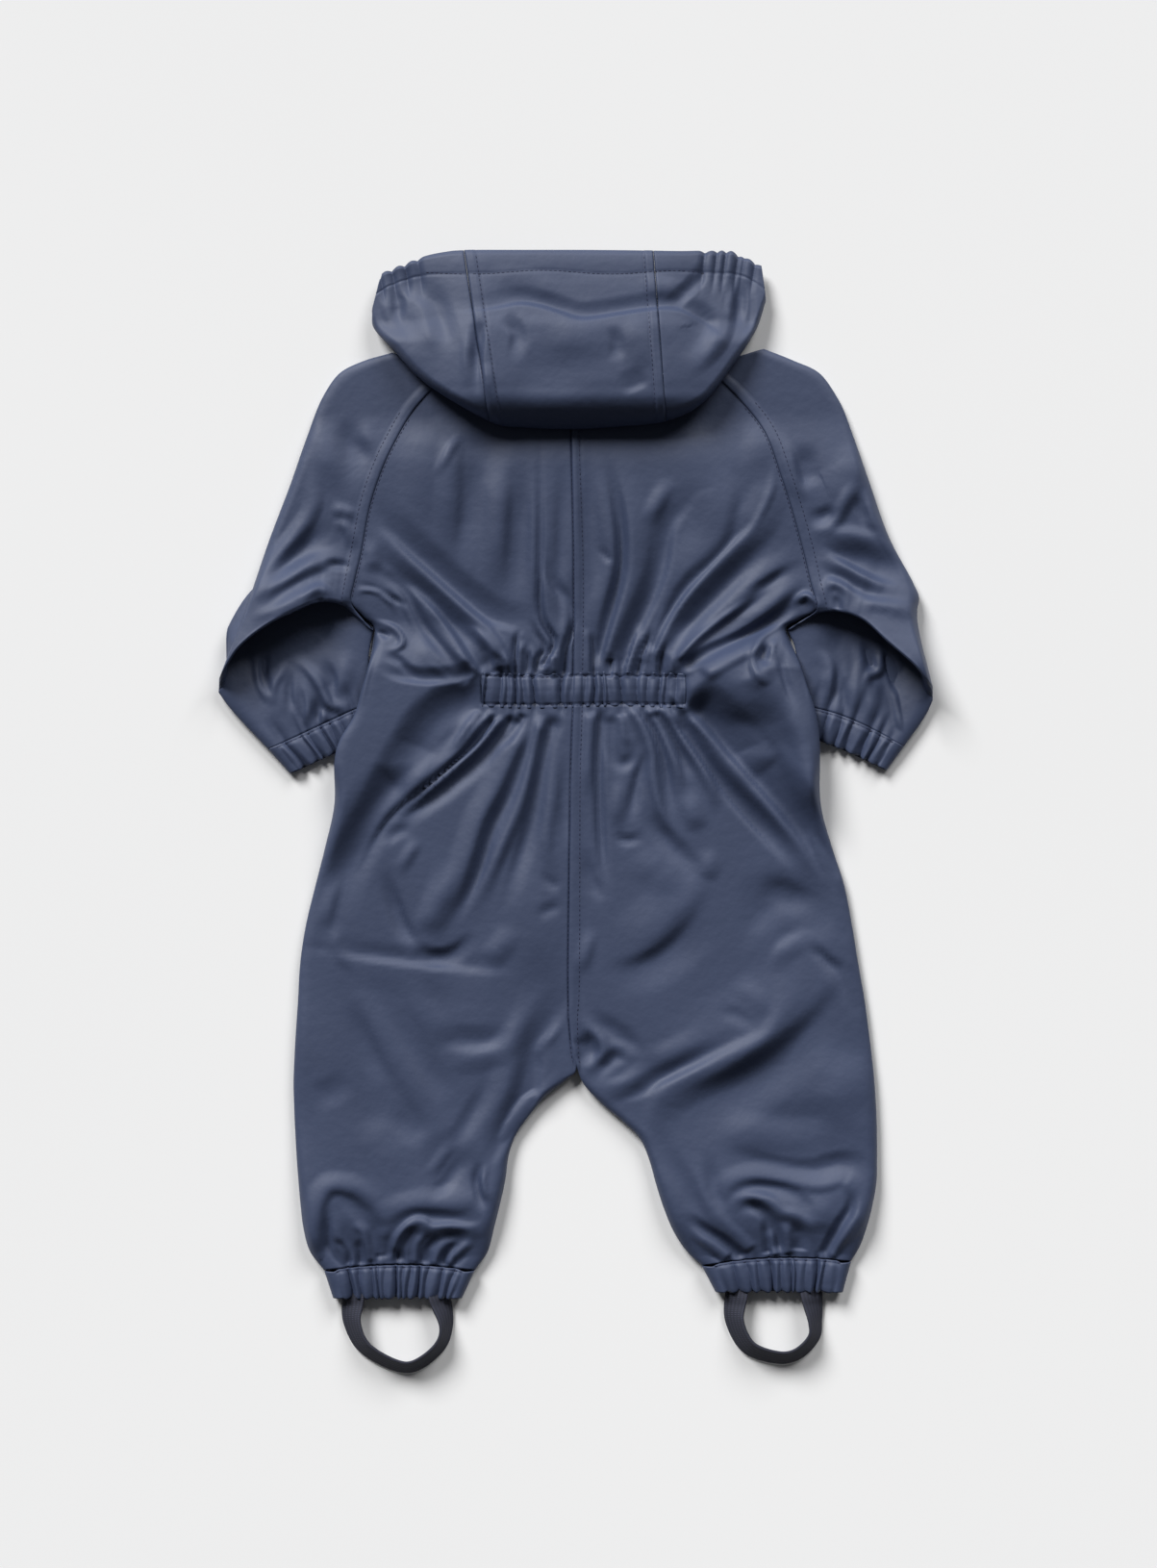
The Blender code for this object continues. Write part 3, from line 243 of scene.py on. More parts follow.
# Creases of the back, each from where it starts to where it runs out: its height over the cloth
# round it (or depth), how far it spreads on the left and the right hand of its path, and the path.
Fold = namedtuple("Fold", "height left right path")
UPPER_BACK_FOLDS = rows_of(Fold,
    (2.6, 9.5, 11.7, [(-72, 249), (-80, 240), (-82, 223), (-83, 204), (-84, 185), (-87, 163)]),
    (1.6, 5.3, 4.2, [(-73, 247), (-81, 240), (-86, 230), (-93, 218)]),
    (-2.2, 13.8, 9.5, [(-68, 235), (-69, 216), (-70, 198), (-73, 179), (-75, 153)]),
    (3, 9.5, 12.7, [(-53, 235), (-50, 213), (-51, 188), (-53, 163), (-58, 136)]),
    (-2.6, 9.5, 10.6, [(-38, 229), (-37, 204), (-38, 179), (-39, 153), (-41, 133)]),
    (1.8, 4.2, 7.4, [(-27, 235), (-26, 204), (-26, 172), (-26, 147), (-27, 128)]),
    (-3.2, 2.3, 4.2, [(-24, 251), (-24, 216), (-24, 179), (-24, 153), (-24, 136), (-21, 123), (-14, 111),
        (-19, 100), (-24, 92)]),
    (3, 10.6, 2.8, [(-20, 251), (-20, 216), (-20, 179), (-21, 153), (-20, 136), (-18, 125), (-12, 112),
        (-17, 99), (-22, 90)]),
    (-2.4, 7.4, 4.2, [(-19, 188), (-19, 166), (-17, 152), (-10, 140), (-4, 127), (-2, 114)]),
    (-1.5, 8.5, 8.5, [(-9, 235), (-8, 204), (-9, 166), (-10, 147)]),
    (1.4, 5.3, 7.4, [(-5, 216), (-5, 179), (-5, 153), (-6, 134)]),
    (2, 4.2, 4.2, [(-14, 146), (-8, 136), (-7, 122), (-10, 108)]),
    (-4.2, 15.9, 6.4, [(-131, 216), (-126, 192), (-111, 174), (-94, 158), (-75, 141), (-58, 128),
        (-39, 122), (-27, 116)]),
    (3.8, 5.8, 13.8, [(-141, 185), (-126, 179), (-108, 163), (-89, 146), (-72, 131), (-58, 118),
        (-48, 103), (-42, 90)]),
    (-4.2, 13.8, 5.3, [(-133, 175), (-118, 158), (-102, 145), (-88, 131), (-76, 116), (-68, 102),
        (-58, 90)]),
    (3.4, 4.8, 9.5, [(-113, 150), (-98, 136), (-87, 121), (-76, 106), (-64, 88)]),
    (-2.6, 5.3, 6.4, [(-140, 162), (-126, 155), (-113, 146), (-106, 133), (-100, 121), (-88, 106),
        (-73, 92)]),
    (1.8, 3.2, 5.3, [(-128, 152), (-117, 144), (-110, 133), (-104, 121), (-93, 103)]),
    (-1.8, 3.2, 3.2, [(-147, 151), (-132, 145), (-118, 138), (-108, 133)]),
    (2, 8.5, 6.4, [(-137, 179), (-134, 166), (-136, 155)]),
    (1.8, 3.2, 5.3, [(-73, 122), (-63, 116), (-54, 106), (-49, 92)]),
    (-2.2, 4.2, 4.2, [(-66, 113), (-58, 102), (-52, 90)]),
    (-2, 9.5, 6.4, [(-98, 106), (-84, 94), (-70, 85)]),
    (2, 9.5, 9.5, [(-107, 116), (-94, 102), (-80, 90)]),
    (-3.4, 5.3, 8.5, [(-65, 94), (-82, 88), (-100, 87), (-118, 90), (-131, 97)]),
    (-2, 9.5, 7.4, [(5, 238), (7, 210), (8, 185), (10, 160), (7, 134)]),
    (2.8, 4.2, 10.6, [(14, 238), (19, 210), (23, 185), (25, 167), (22, 150), (14, 128), (9, 111)]),
    (-1.6, 3.2, 3.2, [(14, 174), (20, 166), (22, 162)]),
    (-3.6, 4.2, 6.4, [(20, 235), (26, 207), (29, 181), (28, 157), (24, 137), (19, 117), (13, 93)]),
    (3.6, 14.8, 5.3, [(26, 238), (32, 211), (36, 186), (36, 158), (31, 138), (24, 117), (18, 94)]),
    (-4.2, 6.4, 12.7, [(82, 216), (70, 200), (60, 185), (56, 161), (50, 143), (42, 126), (33, 108),
        (23, 90)]),
    (2.2, 6.4, 8.5, [(63, 218), (53, 201), (46, 186)]),
    (3.4, 9.5, 25.4, [(87, 229), (98, 213), (97, 194), (91, 175), (78, 157), (66, 142), (57, 128)]),
    (1.6, 4.2, 4.2, [(63, 146), (57, 128), (50, 113), (43, 97)]),
    (-2.8, 3.2, 7.4, [(111, 186), (91, 166), (73, 148), (63, 132), (56, 119), (48, 103)]),
    (4, 14.8, 4.2, [(130, 235), (128, 213), (118, 188), (102, 172), (85, 153), (68, 134), (57, 116),
        (50, 94)]),
    (2, 5.3, 13.8, [(129, 229), (126, 209), (116, 191), (104, 177)]),
    (-3.8, 10.6, 12.7, [(134, 188), (114, 167), (95, 148), (77, 128), (65, 111), (56, 92)]),
    (3.4, 6.4, 10.6, [(155, 171), (136, 163), (119, 150), (102, 134), (86, 121), (71, 106), (60, 90)]),
    (2, 3.2, 4.2, [(130, 150), (111, 136), (95, 125), (78, 112), (63, 97)]),
    (-1.8, 5.3, 4.2, [(141, 160), (124, 150), (111, 141)]),
    (3.4, 6.4, 9.5, [(148, 156), (138, 145), (125, 133), (109, 122), (94, 113)]),
    (-4.2, 6.4, 6.4, [(153, 146), (138, 132), (122, 121), (105, 112), (87, 104), (67, 93)]),
    (3.2, 9.5, 6.4, [(136, 122), (118, 112), (99, 102), (81, 89)]),
    (-2, 9.5, 8.5, [(130, 108), (114, 97), (95, 88)]),
    (1.6, 7.4, 9.5, [(130, 100), (120, 88), (114, 78)]),
    (2.2, 3.2, 3.2, [(155, 128), (155, 136), (150, 141), (145, 138), (141, 132)]),
    (-3.4, 2.3, 2.3, [(-37, 121), (-40, 111), (-40, 100), (-39, 87)]),
    (2.6, 2.3, 2.3, [(-34, 113), (-37, 103), (-37, 87)]),
    (-2.6, 2.5, 2.5, [(-32, 106), (-32, 97), (-34, 87)]),
    (2.2, 2.5, 2.5, [(-30, 111), (-28, 100), (-30, 87)]),
    (-3.2, 2.5, 3, [(-31, 128), (-26, 117), (-21, 107), (-26, 98), (-27, 87)]),
    (2.6, 3.2, 3.2, [(-16, 102), (-15, 94), (-15, 87)]),
    (-4.4, 3.6, 2.5, [(-2, 128), (-4, 118), (-7, 108), (-8, 98), (-8, 87)]),
    (2.2, 2.3, 2.5, [(5, 122), (7, 111), (7, 87)]),
    (-3, 2.3, 2.3, [(10, 119), (11, 106), (11, 87)]),
    (2.2, 2.5, 2.5, [(26, 106), (26, 95), (26, 87)]),
    (-2.6, 2.5, 2.5, [(22, 100), (22, 87)]),
    (3, 3.2, 2.8, [(41, 125), (39, 113), (35, 100), (32, 87)]),
    (-3.6, 3, 2.5, [(50, 122), (46, 111), (42, 99), (39, 87)]),
    (-2.2, 2.3, 2.3, [(36, 108), (32, 98), (29, 87)]),
    (2.6, 2.5, 2.5, [(53, 108), (51, 97), (50, 87)]),
    (-2.8, 2.5, 2.5, [(60, 113), (55, 100), (55, 87)]),
    (2.6, 3.2, 2.8, [(63, 106), (61, 95), (61, 87)]),
    (-2.4, 2.5, 2.5, [(-55, 106), (-50, 97), (-48, 87)]),
    (2.4, 2.5, 2.5, [(-49, 106), (-45, 97), (-44, 87)]),
    (2.6, 25.4, 21.2, [(-97, 279), (-98, 248), (-97, 216), (-93, 179)]),
    (-2, 17, 17, [(-63, 279), (-58, 242), (-58, 204)]),
    (2.4, 23.3, 21.2, [(63, 279), (71, 248), (82, 210), (87, 179)]),
    (2.2, 17, 14.8, [(116, 279), (120, 248), (120, 210)]),
)
LOWER_BACK_FOLDS = rows_of(Fold,
    (-5, 17, 15.9, [(-60, 76), (-80, 72), (-97, 60), (-109, 42), (-119, 24), (-128, 5), (-139, -15),
        (-149, -37), (-157, -58), (-167, -82)]),
    (3.8, 3.4, 12.7, [(-61, 64), (-75, 42), (-94, 24), (-118, 5), (-130, -9), (-139, -26), (-148, -46)]),
    (-2.8, 3.2, 3.2, [(-53, 63), (-68, 43), (-86, 27), (-100, 16), (-123, -1)]),
    (3.4, 3.2, 3.6, [(-48, 63), (-63, 44), (-82, 27), (-99, 12), (-114, -2)]),
    (-4, 9.5, 3.6, [(-41, 64), (-50, 51), (-65, 33), (-84, 17), (-107, 0), (-118, -8)]),
    (2, 3.2, 3.2, [(-55, 66), (-64, 55), (-73, 42)]),
    (1.8, 4.2, 4.2, [(-63, 66), (-73, 53), (-83, 38)]),
    (-2.4, 4.2, 4.2, [(-34, 64), (-42, 50), (-51, 40)]),
    (3.8, 5.3, 13.8, [(-32, 58), (-50, 18), (-62, -5), (-70, -29), (-78, -52), (-90, -77)]),
    (-3.4, 5.3, 5.3, [(-30, 51), (-42, 16), (-55, -10), (-63, -36), (-72, -58), (-82, -76)]),
    (3.6, 6.4, 6.4, [(-22, 64), (-27, 37), (-37, 5), (-49, -23), (-58, -45), (-69, -68)]),
    (-3.8, 9.5, 6.4, [(-14, 64), (-22, 43), (-26, 20), (-31, -10), (-40, -40), (-49, -70)]),
    (2, 5.3, 7.4, [(-12, 48), (-16, 8), (-19, -23), (-13, -45)]),
    (-1.8, 5.3, 5.3, [(-8, 40), (-8, 2), (-7, -26)]),
    (-1.6, 4.2, 4.2, [(-24, -38), (-17, -47), (-10, -51)]),
    (-1.6, 5.3, 5.3, [(-28, -70), (-17, -64), (-10, -64)]),
    (1.8, 5.3, 6.4, [(-104, -17), (-109, -28), (-118, -41)]),
    (-2, 6.4, 5.3, [(-126, -23), (-118, -14), (-106, -12)]),
    (3, 12.7, 12.7, [(-79, -32), (-88, -53), (-94, -70), (-98, -82)]),
    (-3.8, 5.3, 9.5, [(-126, -34), (-119, -58), (-112, -77), (-102, -91)]),
    (-3.6, 5.3, 9.5, [(-107, -86), (-94, -94), (-79, -91), (-66, -78)]),
    (-1.6, 10.6, 4.2, [(-166, -88), (-150, -92), (-119, -96), (-94, -99), (-63, -102), (-34, -104)]),
    (1.5, 4.2, 21.2, [(-170, -94), (-150, -97), (-119, -101), (-94, -104), (-63, -107), (-34, -109)]),
    (-1, 4.2, 4.2, [(-185, -90), (-175, -89), (-158, -90)]),
    (2.2, 5.3, 8.5, [(-156, -39), (-161, -61), (-165, -78)]),
    (1.6, 6.4, 6.4, [(-157, -73), (-156, -89), (-143, -108)]),
    (2, 10.6, 10.6, [(-41, -73), (-50, -89), (-60, -100)]),
    (-4, 5.3, 4.2, [(16, 69), (14, 34), (15, -4), (17, -31), (21, -56)]),
    (2.2, 4.2, 6.4, [(10, 66), (8, 34), (7, 7)]),
    (-2.4, 6.4, 6.4, [(22, 64), (23, 42), (29, 31), (36, 36), (38, 50)]),
    (2.2, 7.4, 6.4, [(29, 24), (27, 5), (26, -12)]),
    (1.8, 3.2, 3.2, [(29, 64), (31, 51), (33, 41)]),
    (-3, 6.4, 4.2, [(48, 43), (41, 27), (37, 8), (36, -9)]),
    (-2.2, 4.2, 4.2, [(26, -13), (32, -19), (46, -16)]),
    (3.6, 4.2, 6.4, [(36, 70), (43, 56), (49, 40), (51, 21), (55, 2), (62, -12), (72, -20)]),
    (3.2, 5.3, 5.3, [(44, 68), (54, 56), (62, 39), (67, 21), (70, 1)]),
    (-3, 4.2, 4.2, [(41, 68), (51, 53), (57, 34), (61, 11), (65, -5)]),
    (3.6, 6.4, 5.3, [(52, 70), (63, 59), (73, 43), (83, 27), (89, 11), (90, -2)]),
    (-3, 4.2, 5.3, [(50, 66), (60, 51), (70, 34), (77, 19)]),
    (2.6, 10.6, 9.5, [(71, 15), (76, -1), (80, -14)]),
    (-3, 9.5, 8.5, [(46, 4), (53, -10), (62, -22), (72, -34), (75, -51)]),
    (2, 12.7, 17, [(39, -23), (54, -39), (65, -56)]),
    (-5.6, 14.8, 4.2, [(63, 64), (82, 36), (97, 15), (114, -5), (131, -24), (150, -46)]),
    (4.2, 12.7, 8.5, [(70, 66), (87, 42), (105, 22), (124, 4), (141, -17), (159, -44)]),
    (-9, 22.3, 9.5, [(71, 74), (92, 54), (111, 34), (130, 11), (149, -12), (165, -36), (174, -47)]),
    (-5, 38.2, 14.8, [(96, 87), (116, 58), (134, 30), (148, 7)]),
    (4.6, 48.8, 9.5, [(150, 113), (126, 106), (102, 95), (75, 79), (63, 69)]),
    (-3.4, 31.8, 31.8, [(107, 72), (121, 46), (136, 24)]),
    (2.4, 8.5, 10.6, [(134, 78), (144, 53), (152, 21), (155, -4)]),
    (-2.6, 5.3, 5.3, [(165, -41), (172, -65), (177, -86)]),
    (-2.4, 10.6, 12.7, [(118, -47), (138, -54), (158, -63)]),
    (2, 12.7, 13.8, [(165, -67), (145, -70), (130, -75), (122, -86), (118, -101)]),
    (1.8, 11.7, 6.4, [(158, -85), (149, -82), (137, -88), (132, -95), (130, -107)]),
    (-2.6, 5.3, 5.3, [(152, -86), (162, -96), (177, -110)]),
    (3, 12.7, 27.6, [(85, -37), (76, -52), (65, -66), (52, -79), (38, -91), (20, -99)]),
    (-2.6, 21.2, 8.5, [(87, -65), (71, -81), (57, -93), (38, -102), (15, -105)]),
    (1.8, 8.5, 8.5, [(86, -23), (87, -36), (84, -45)]),
    (2.2, 5.3, 8.5, [(10, -76), (7, -92), (3, -107)]),
    (-2.2, 6.4, 6.4, [(5, -23), (10, -45), (18, -61)]),
    (4.2, 12.7, 46.6, [(177, -89), (146, -131), (104, -160), (57, -180)]),
    (-3.6, 27.6, 33.9, [(179, -54), (140, -67), (102, -75)]),
    (2.6, 27.6, 23.3, [(-189, -99), (-170, -155), (-156, -212), (-143, -250)]),
    (-2.4, 25.4, 25.4, [(-82, -36), (-76, -86), (-82, -136)]),
    (2.4, 23.3, 27.6, [(-38, -23), (-27, -73), (-25, -118)]),
    (-3, 27.6, 27.6, [(-107, -244), (-82, -234), (-63, -218)]),
    (2.6, 31.8, 27.6, [(177, -155), (179, -193), (172, -231)]),
    (-2.6, 31.8, 31.8, [(101, -212), (145, -218), (189, -212)]),
)
LEG_FOLDS = rows_of(Fold,
    (1.8, 11.9, 10.6, [(-160, -92), (-138, -128), (-119, -162), (-100, -193), (-87, -218)]),
    (-1.3, 9.2, 10.6, [(-147, -124), (-136, -155), (-126, -180)]),
    (-1.5, 11.9, 9.2, [(-124, -118), (-108, -150), (-93, -176), (-87, -193)]),
    (1.5, 11.9, 11.9, [(-113, -105), (-97, -134), (-82, -155)]),
    (-1.2, 11.9, 11.9, [(-175, -188), (-160, -183), (-146, -173)]),
    (-1.2, 15.8, 11.9, [(-121, -193), (-109, -207), (-97, -216)]),
    (1.5, 21.1, 18.5, [(-138, -199), (-126, -218), (-106, -241)]),
    (-1.9, 11.9, 7.9, [(-94, -149), (-76, -150), (-56, -150), (-41, -141)]),
    (1.8, 9.2, 11.9, [(-93, -158), (-72, -162), (-50, -155), (-38, -138), (-32, -118)]),
    (-3.6, 7.9, 17.2, [(-8, -102), (-9, -121), (-17, -136), (-25, -152), (-28, -169), (-31, -187),
        (-41, -204), (-51, -218), (-59, -230), (-64, -242)]),
    (2.5, 10.6, 14.5, [(-17, -111), (-30, -135), (-39, -155), (-44, -174), (-51, -193), (-59, -212),
        (-65, -231), (-69, -251)]),
    (1.9, 4, 5.3, [(-10, -135), (-14, -144), (-21, -152), (-24, -159), (-21, -167)]),
    (1.6, 4, 6.6, [(-7, -167), (-24, -188), (-36, -204), (-46, -220)]),
    (-1.5, 7.9, 7.9, [(-55, -173), (-66, -193), (-76, -210), (-85, -223)]),
    (1.3, 5.3, 6.6, [(-79, -214), (-89, -228), (-98, -241)]),
    (-1.5, 6.6, 6.6, [(-72, -222), (-79, -235), (-89, -247), (-100, -251)]),
    (2.8, 11.9, 6.6, [(-170, -291), (-170, -266), (-165, -250), (-157, -245), (-145, -248), (-134, -257),
        (-124, -265)]),
    (-2.5, 4.5, 4.5, [(-163, -298), (-163, -278), (-162, -257)]),
    (-2.8, 11.9, 7.9, [(-156, -250), (-145, -257), (-136, -270), (-131, -283), (-127, -298)]),
    (1.8, 5.3, 5.3, [(-157, -261), (-156, -278), (-150, -291), (-146, -302)]),
    (-1.8, 3.4, 3.4, [(-160, -279), (-153, -286), (-148, -299)]),
    (1.8, 5.3, 4, [(-148, -270), (-140, -274), (-137, -285), (-134, -299)]),
    (-1.8, 4, 4, [(-143, -280), (-142, -290), (-141, -300)]),
    (1.5, 5.3, 7.9, [(-123, -270), (-127, -281), (-127, -295)]),
    (2.2, 11.9, 10.6, [(-131, -275), (-121, -262), (-100, -256), (-76, -254), (-66, -246)]),
    (-1.9, 6.6, 5.3, [(-123, -274), (-111, -265), (-97, -264), (-75, -266), (-63, -262)]),
    (3.1, 4, 10.6, [(-121, -299), (-118, -283), (-113, -274), (-106, -267), (-100, -267), (-95, -272),
        (-82, -271), (-69, -272), (-62, -269), (-58, -261)]),
    (-2.7, 4, 5.3, [(-117, -299), (-115, -288), (-109, -276), (-103, -273)]),
    (-2.2, 5.3, 6.6, [(-93, -278), (-80, -277), (-68, -278)]),
    (1.8, 4, 4, [(-97, -274), (-104, -285), (-107, -300)]),
    (-1.9, 4, 4, [(-89, -278), (-97, -289), (-99, -300)]),
    (1.8, 4, 4, [(-83, -279), (-90, -290), (-94, -300)]),
    (1.8, 4, 4, [(-66, -279), (-76, -288), (-85, -299)]),
    (-1.9, 4, 4, [(-73, -279), (-83, -289), (-89, -300)]),
    (-3.3, 4, 5.3, [(-61, -228), (-65, -240), (-63, -252), (-59, -262)]),
    (1.9, 4, 4, [(-58, -228), (-61, -238), (-60, -248), (-55, -256)]),
    (1.5, 7.9, 7.9, [(-177, -264), (-175, -281), (-167, -295)]),
    (3, 7.9, 4, [(-2, -133), (8, -141), (15, -150), (17, -158), (12, -164), (7, -174)]),
    (-4.1, 9.2, 9.2, [(2, -145), (8, -155), (6, -168)]),
    (-2.2, 9.2, 7.9, [(7, -134), (20, -141), (34, -152), (43, -164)]),
    (1.6, 6.6, 6.6, [(19, -152), (32, -157), (39, -164)]),
    (-2.2, 6.6, 7.9, [(41, -159), (27, -160), (17, -168), (10, -180)]),
    (2.1, 10.6, 7.9, [(46, -164), (38, -174), (27, -180), (12, -184)]),
    (-2.7, 5.3, 10.6, [(118, -140), (91, -157), (71, -167), (53, -176), (41, -184), (19, -188)]),
    (1.8, 15.8, 10.6, [(90, -139), (72, -153), (57, -160), (43, -165)]),
    (3.6, 19.8, 9.2, [(135, -96), (136, -124), (131, -139), (123, -149), (107, -157), (88, -166),
        (71, -175), (58, -184), (53, -193), (52, -204), (57, -218)]),
    (-3.6, 26.4, 17.2, [(162, -102), (152, -130), (139, -153), (122, -169), (104, -182), (84, -191),
        (63, -197)]),
    (1.8, 23.8, 23.8, [(177, -149), (169, -180), (158, -204)]),
    (-1.3, 6.6, 6.6, [(91, -131), (106, -134), (118, -145)]),
    (1.3, 9.2, 9.2, [(102, -111), (116, -121), (122, -135)]),
    (-2.1, 9.2, 9.2, [(155, -96), (172, -106), (182, -121), (188, -133)]),
    (-3, 10.6, 18.5, [(91, -214), (111, -228), (134, -235), (154, -236), (172, -231), (184, -233),
        (192, -248)]),
    (2.2, 15.8, 15.8, [(90, -207), (114, -211), (145, -214), (177, -210)]),
    (2.4, 10.6, 6.6, [(96, -266), (96, -251), (102, -242), (116, -238), (136, -240), (158, -244),
        (174, -241), (182, -251), (180, -264)]),
    (-2.4, 6.6, 6.6, [(104, -248), (116, -245), (135, -248), (149, -256), (158, -271)]),
    (3, 5.3, 7.9, [(99, -264), (104, -255), (114, -251), (126, -254), (135, -261), (144, -264),
        (152, -272), (155, -285)]),
    (-3.6, 5.3, 6.6, [(104, -260), (114, -257), (122, -261), (129, -272), (133, -294)]),
    (-3, 4, 4, [(122, -264), (124, -279), (125, -294)]),
    (1.9, 4, 4, [(127, -272), (128, -283), (130, -295)]),
    (-2.1, 7.9, 6.6, [(141, -267), (146, -279), (145, -291)]),
    (1.9, 4, 5.3, [(138, -265), (138, -279), (139, -294)]),
    (-3.1, 5.3, 5.3, [(180, -245), (179, -259), (171, -272), (161, -295)]),
    (2.2, 5.3, 5.3, [(185, -247), (183, -262), (174, -278), (165, -295)]),
    (1.6, 5.3, 7.9, [(192, -247), (188, -264), (178, -278), (169, -290)]),
    (1.8, 13.2, 13.2, [(158, -250), (159, -264), (157, -278)]),
    (-2.2, 10.6, 9.2, [(53, -199), (58, -222), (70, -245), (78, -260), (90, -271)]),
    (1.9, 6.6, 9.2, [(78, -220), (85, -247), (92, -264), (106, -280), (115, -291)]),
    (-1.9, 9.2, 6.6, [(86, -222), (89, -247), (96, -264)]),
    (-3.1, 5.3, 5.3, [(68, -261), (82, -272), (96, -282), (110, -296)]),
    (1.8, 5.3, 5.3, [(72, -272), (86, -283), (100, -295)]),
)
ARMHOLE_FOLDS = rows_of(Fold,
    (2.6, 3, 3, [(-145, 143), (-136, 145), (-127, 142), (-121, 136), (-118, 128)]),
    (3.2, 3, 4, [(-136, 125), (-126, 123), (-119, 120), (-114, 114), (-114, 109), (-119, 106),
        (-126, 107)]),
    (-3, 5, 4, [(-127, 103), (-118, 99), (-111, 93), (-104, 84)]),
    (-2.6, 3, 3, [(-133, 118), (-126, 116), (-122, 112)]),
    (2.4, 3, 3, [(-127, 107), (-132, 106), (-135, 97), (-139, 79), (-142, 63)]),
    (3.2, 4, 4, [(134, 123), (126, 119), (119, 111), (115, 100), (116, 92), (122, 85), (129, 89)]),
    (-3.4, 4, 4, [(126, 111), (122, 102), (124, 94)]),
    (2.2, 2.4, 2.4, [(131, 114), (128, 106), (128, 97)]),
    (-3, 4, 4, [(135, 108), (134, 95), (138, 80), (144, 64)]),
    (2.4, 4, 4, [(139, 111), (145, 103), (150, 92), (153, 76), (158, 59)]),
    (7, 24, 30, [(100, 103), (126, 76), (148, 41), (163, 5), (176, -33)]),
)
# The arch of each upper arm over the forearm that is folded under it.
ARM_ARCH = rows_of(Fold,
    (10.5, 52, 52, [(-262, 60), (-226, 101), (-198, 122), (-170, 131), (-140, 128)]),
    (7, 44, 40, [(-246, 84), (-210, 116), (-182, 128), (-152, 132), (-112, 116)]),
    (10.5, 52, 52, [(262, 50), (232, 80), (206, 108), (180, 124), (150, 124)]),
    (7, 40, 44, [(250, 70), (214, 102), (188, 122), (162, 130), (120, 114)]),
)
SLEEVE_FOLDS = rows_of(Fold,
    (-3.4, 13, 5.8, [(-156, 287), (-136, 283), (-107, 285)]),
    (2, 5.8, 8.7, [(-150, 277), (-127, 276), (-106, 274)]),
    (-4, 11.6, 21.8, [(-151, 282), (-148, 262), (-146, 245), (-141, 230), (-132, 219)]),
    (2.4, 13, 17.4, [(-160, 278), (-162, 254), (-160, 229), (-156, 206)]),
    (2, 11.6, 11.6, [(-136, 267), (-140, 250), (-136, 233)]),
    (2.2, 7.2, 8.7, [(-176, 235), (-172, 213), (-172, 198), (-181, 184), (-194, 168), (-206, 151)]),
    (2.4, 8.7, 8.7, [(-167, 196), (-181, 181), (-195, 166), (-208, 148), (-215, 134)]),
    (-2.4, 10.2, 8.7, [(-160, 191), (-175, 175), (-189, 161), (-201, 150)]),
    (3, 7.2, 8.7, [(-150, 171), (-162, 165), (-179, 158), (-195, 148), (-211, 138)]),
    (-2.8, 7.2, 8.7, [(-156, 161), (-170, 153), (-187, 143), (-204, 135), (-223, 128)]),
    (-2, 4.3, 4.3, [(-166, 162), (-156, 161), (-146, 159)]),
    (2, 5.8, 5.8, [(-162, 198), (-152, 196), (-143, 191)]),
    (2.2, 5.8, 5.8, [(-160, 186), (-152, 187), (-148, 179), (-150, 168)]),
    (2.2, 5.1, 5.1, [(-176, 132), (-174, 141), (-168, 145), (-162, 142), (-159, 133)]),
    (-1.8, 4.3, 4.3, [(-168, 140), (-166, 133)]),
    (1.8, 13, 13, [(-191, 153), (-205, 140), (-216, 124)]),
    (2, 8.7, 11.6, [(-164, 151), (-182, 138), (-199, 126)]),
    (1.8, 10.2, 8.7, [(134, 274), (152, 272), (172, 269)]),
    (-2, 7.2, 11.6, [(130, 264), (150, 264), (174, 260)]),
    (2.2, 7.2, 7.2, [(128, 254), (135, 240), (140, 223), (145, 209), (152, 201)]),
    (-2.8, 13, 8.7, [(148, 242), (150, 224), (153, 209)]),
    (3, 10.2, 26.1, [(173, 242), (180, 229), (180, 215), (169, 202), (153, 199)]),
    (2.6, 5.8, 7.2, [(185, 215), (178, 206), (172, 194), (164, 186), (150, 183)]),
    (-2.2, 7.2, 7.2, [(150, 192), (162, 193), (169, 199)]),
    (2.8, 7.2, 8.7, [(183, 216), (189, 202), (194, 191), (207, 176), (217, 158)]),
    (-2, 5.8, 5.8, [(184, 208), (187, 196), (191, 187)]),
    (3.2, 7.2, 15.9, [(149, 181), (170, 181), (191, 178), (213, 165)]),
    (-3.6, 17.4, 5.8, [(160, 175), (180, 164), (198, 155), (217, 150)]),
    (3.2, 5.8, 8.7, [(155, 172), (172, 161), (189, 151), (207, 141)]),
    (-3.2, 8.7, 5.8, [(158, 161), (174, 152), (193, 142), (217, 136)]),
    (2.6, 5.8, 5.8, [(162, 128), (163, 145), (169, 149), (177, 143), (179, 128)]),
    (-2, 4.3, 4.3, [(169, 142), (171, 128)]),
    (2.2, 4.3, 4.3, [(143, 128), (145, 138), (150, 141), (155, 136), (156, 128)]),
    (2.4, 5.8, 7.2, [(179, 133), (194, 136), (211, 133), (228, 128)]),
)
BAND_SINK = 3.6        # how far the back lies under the waist casing

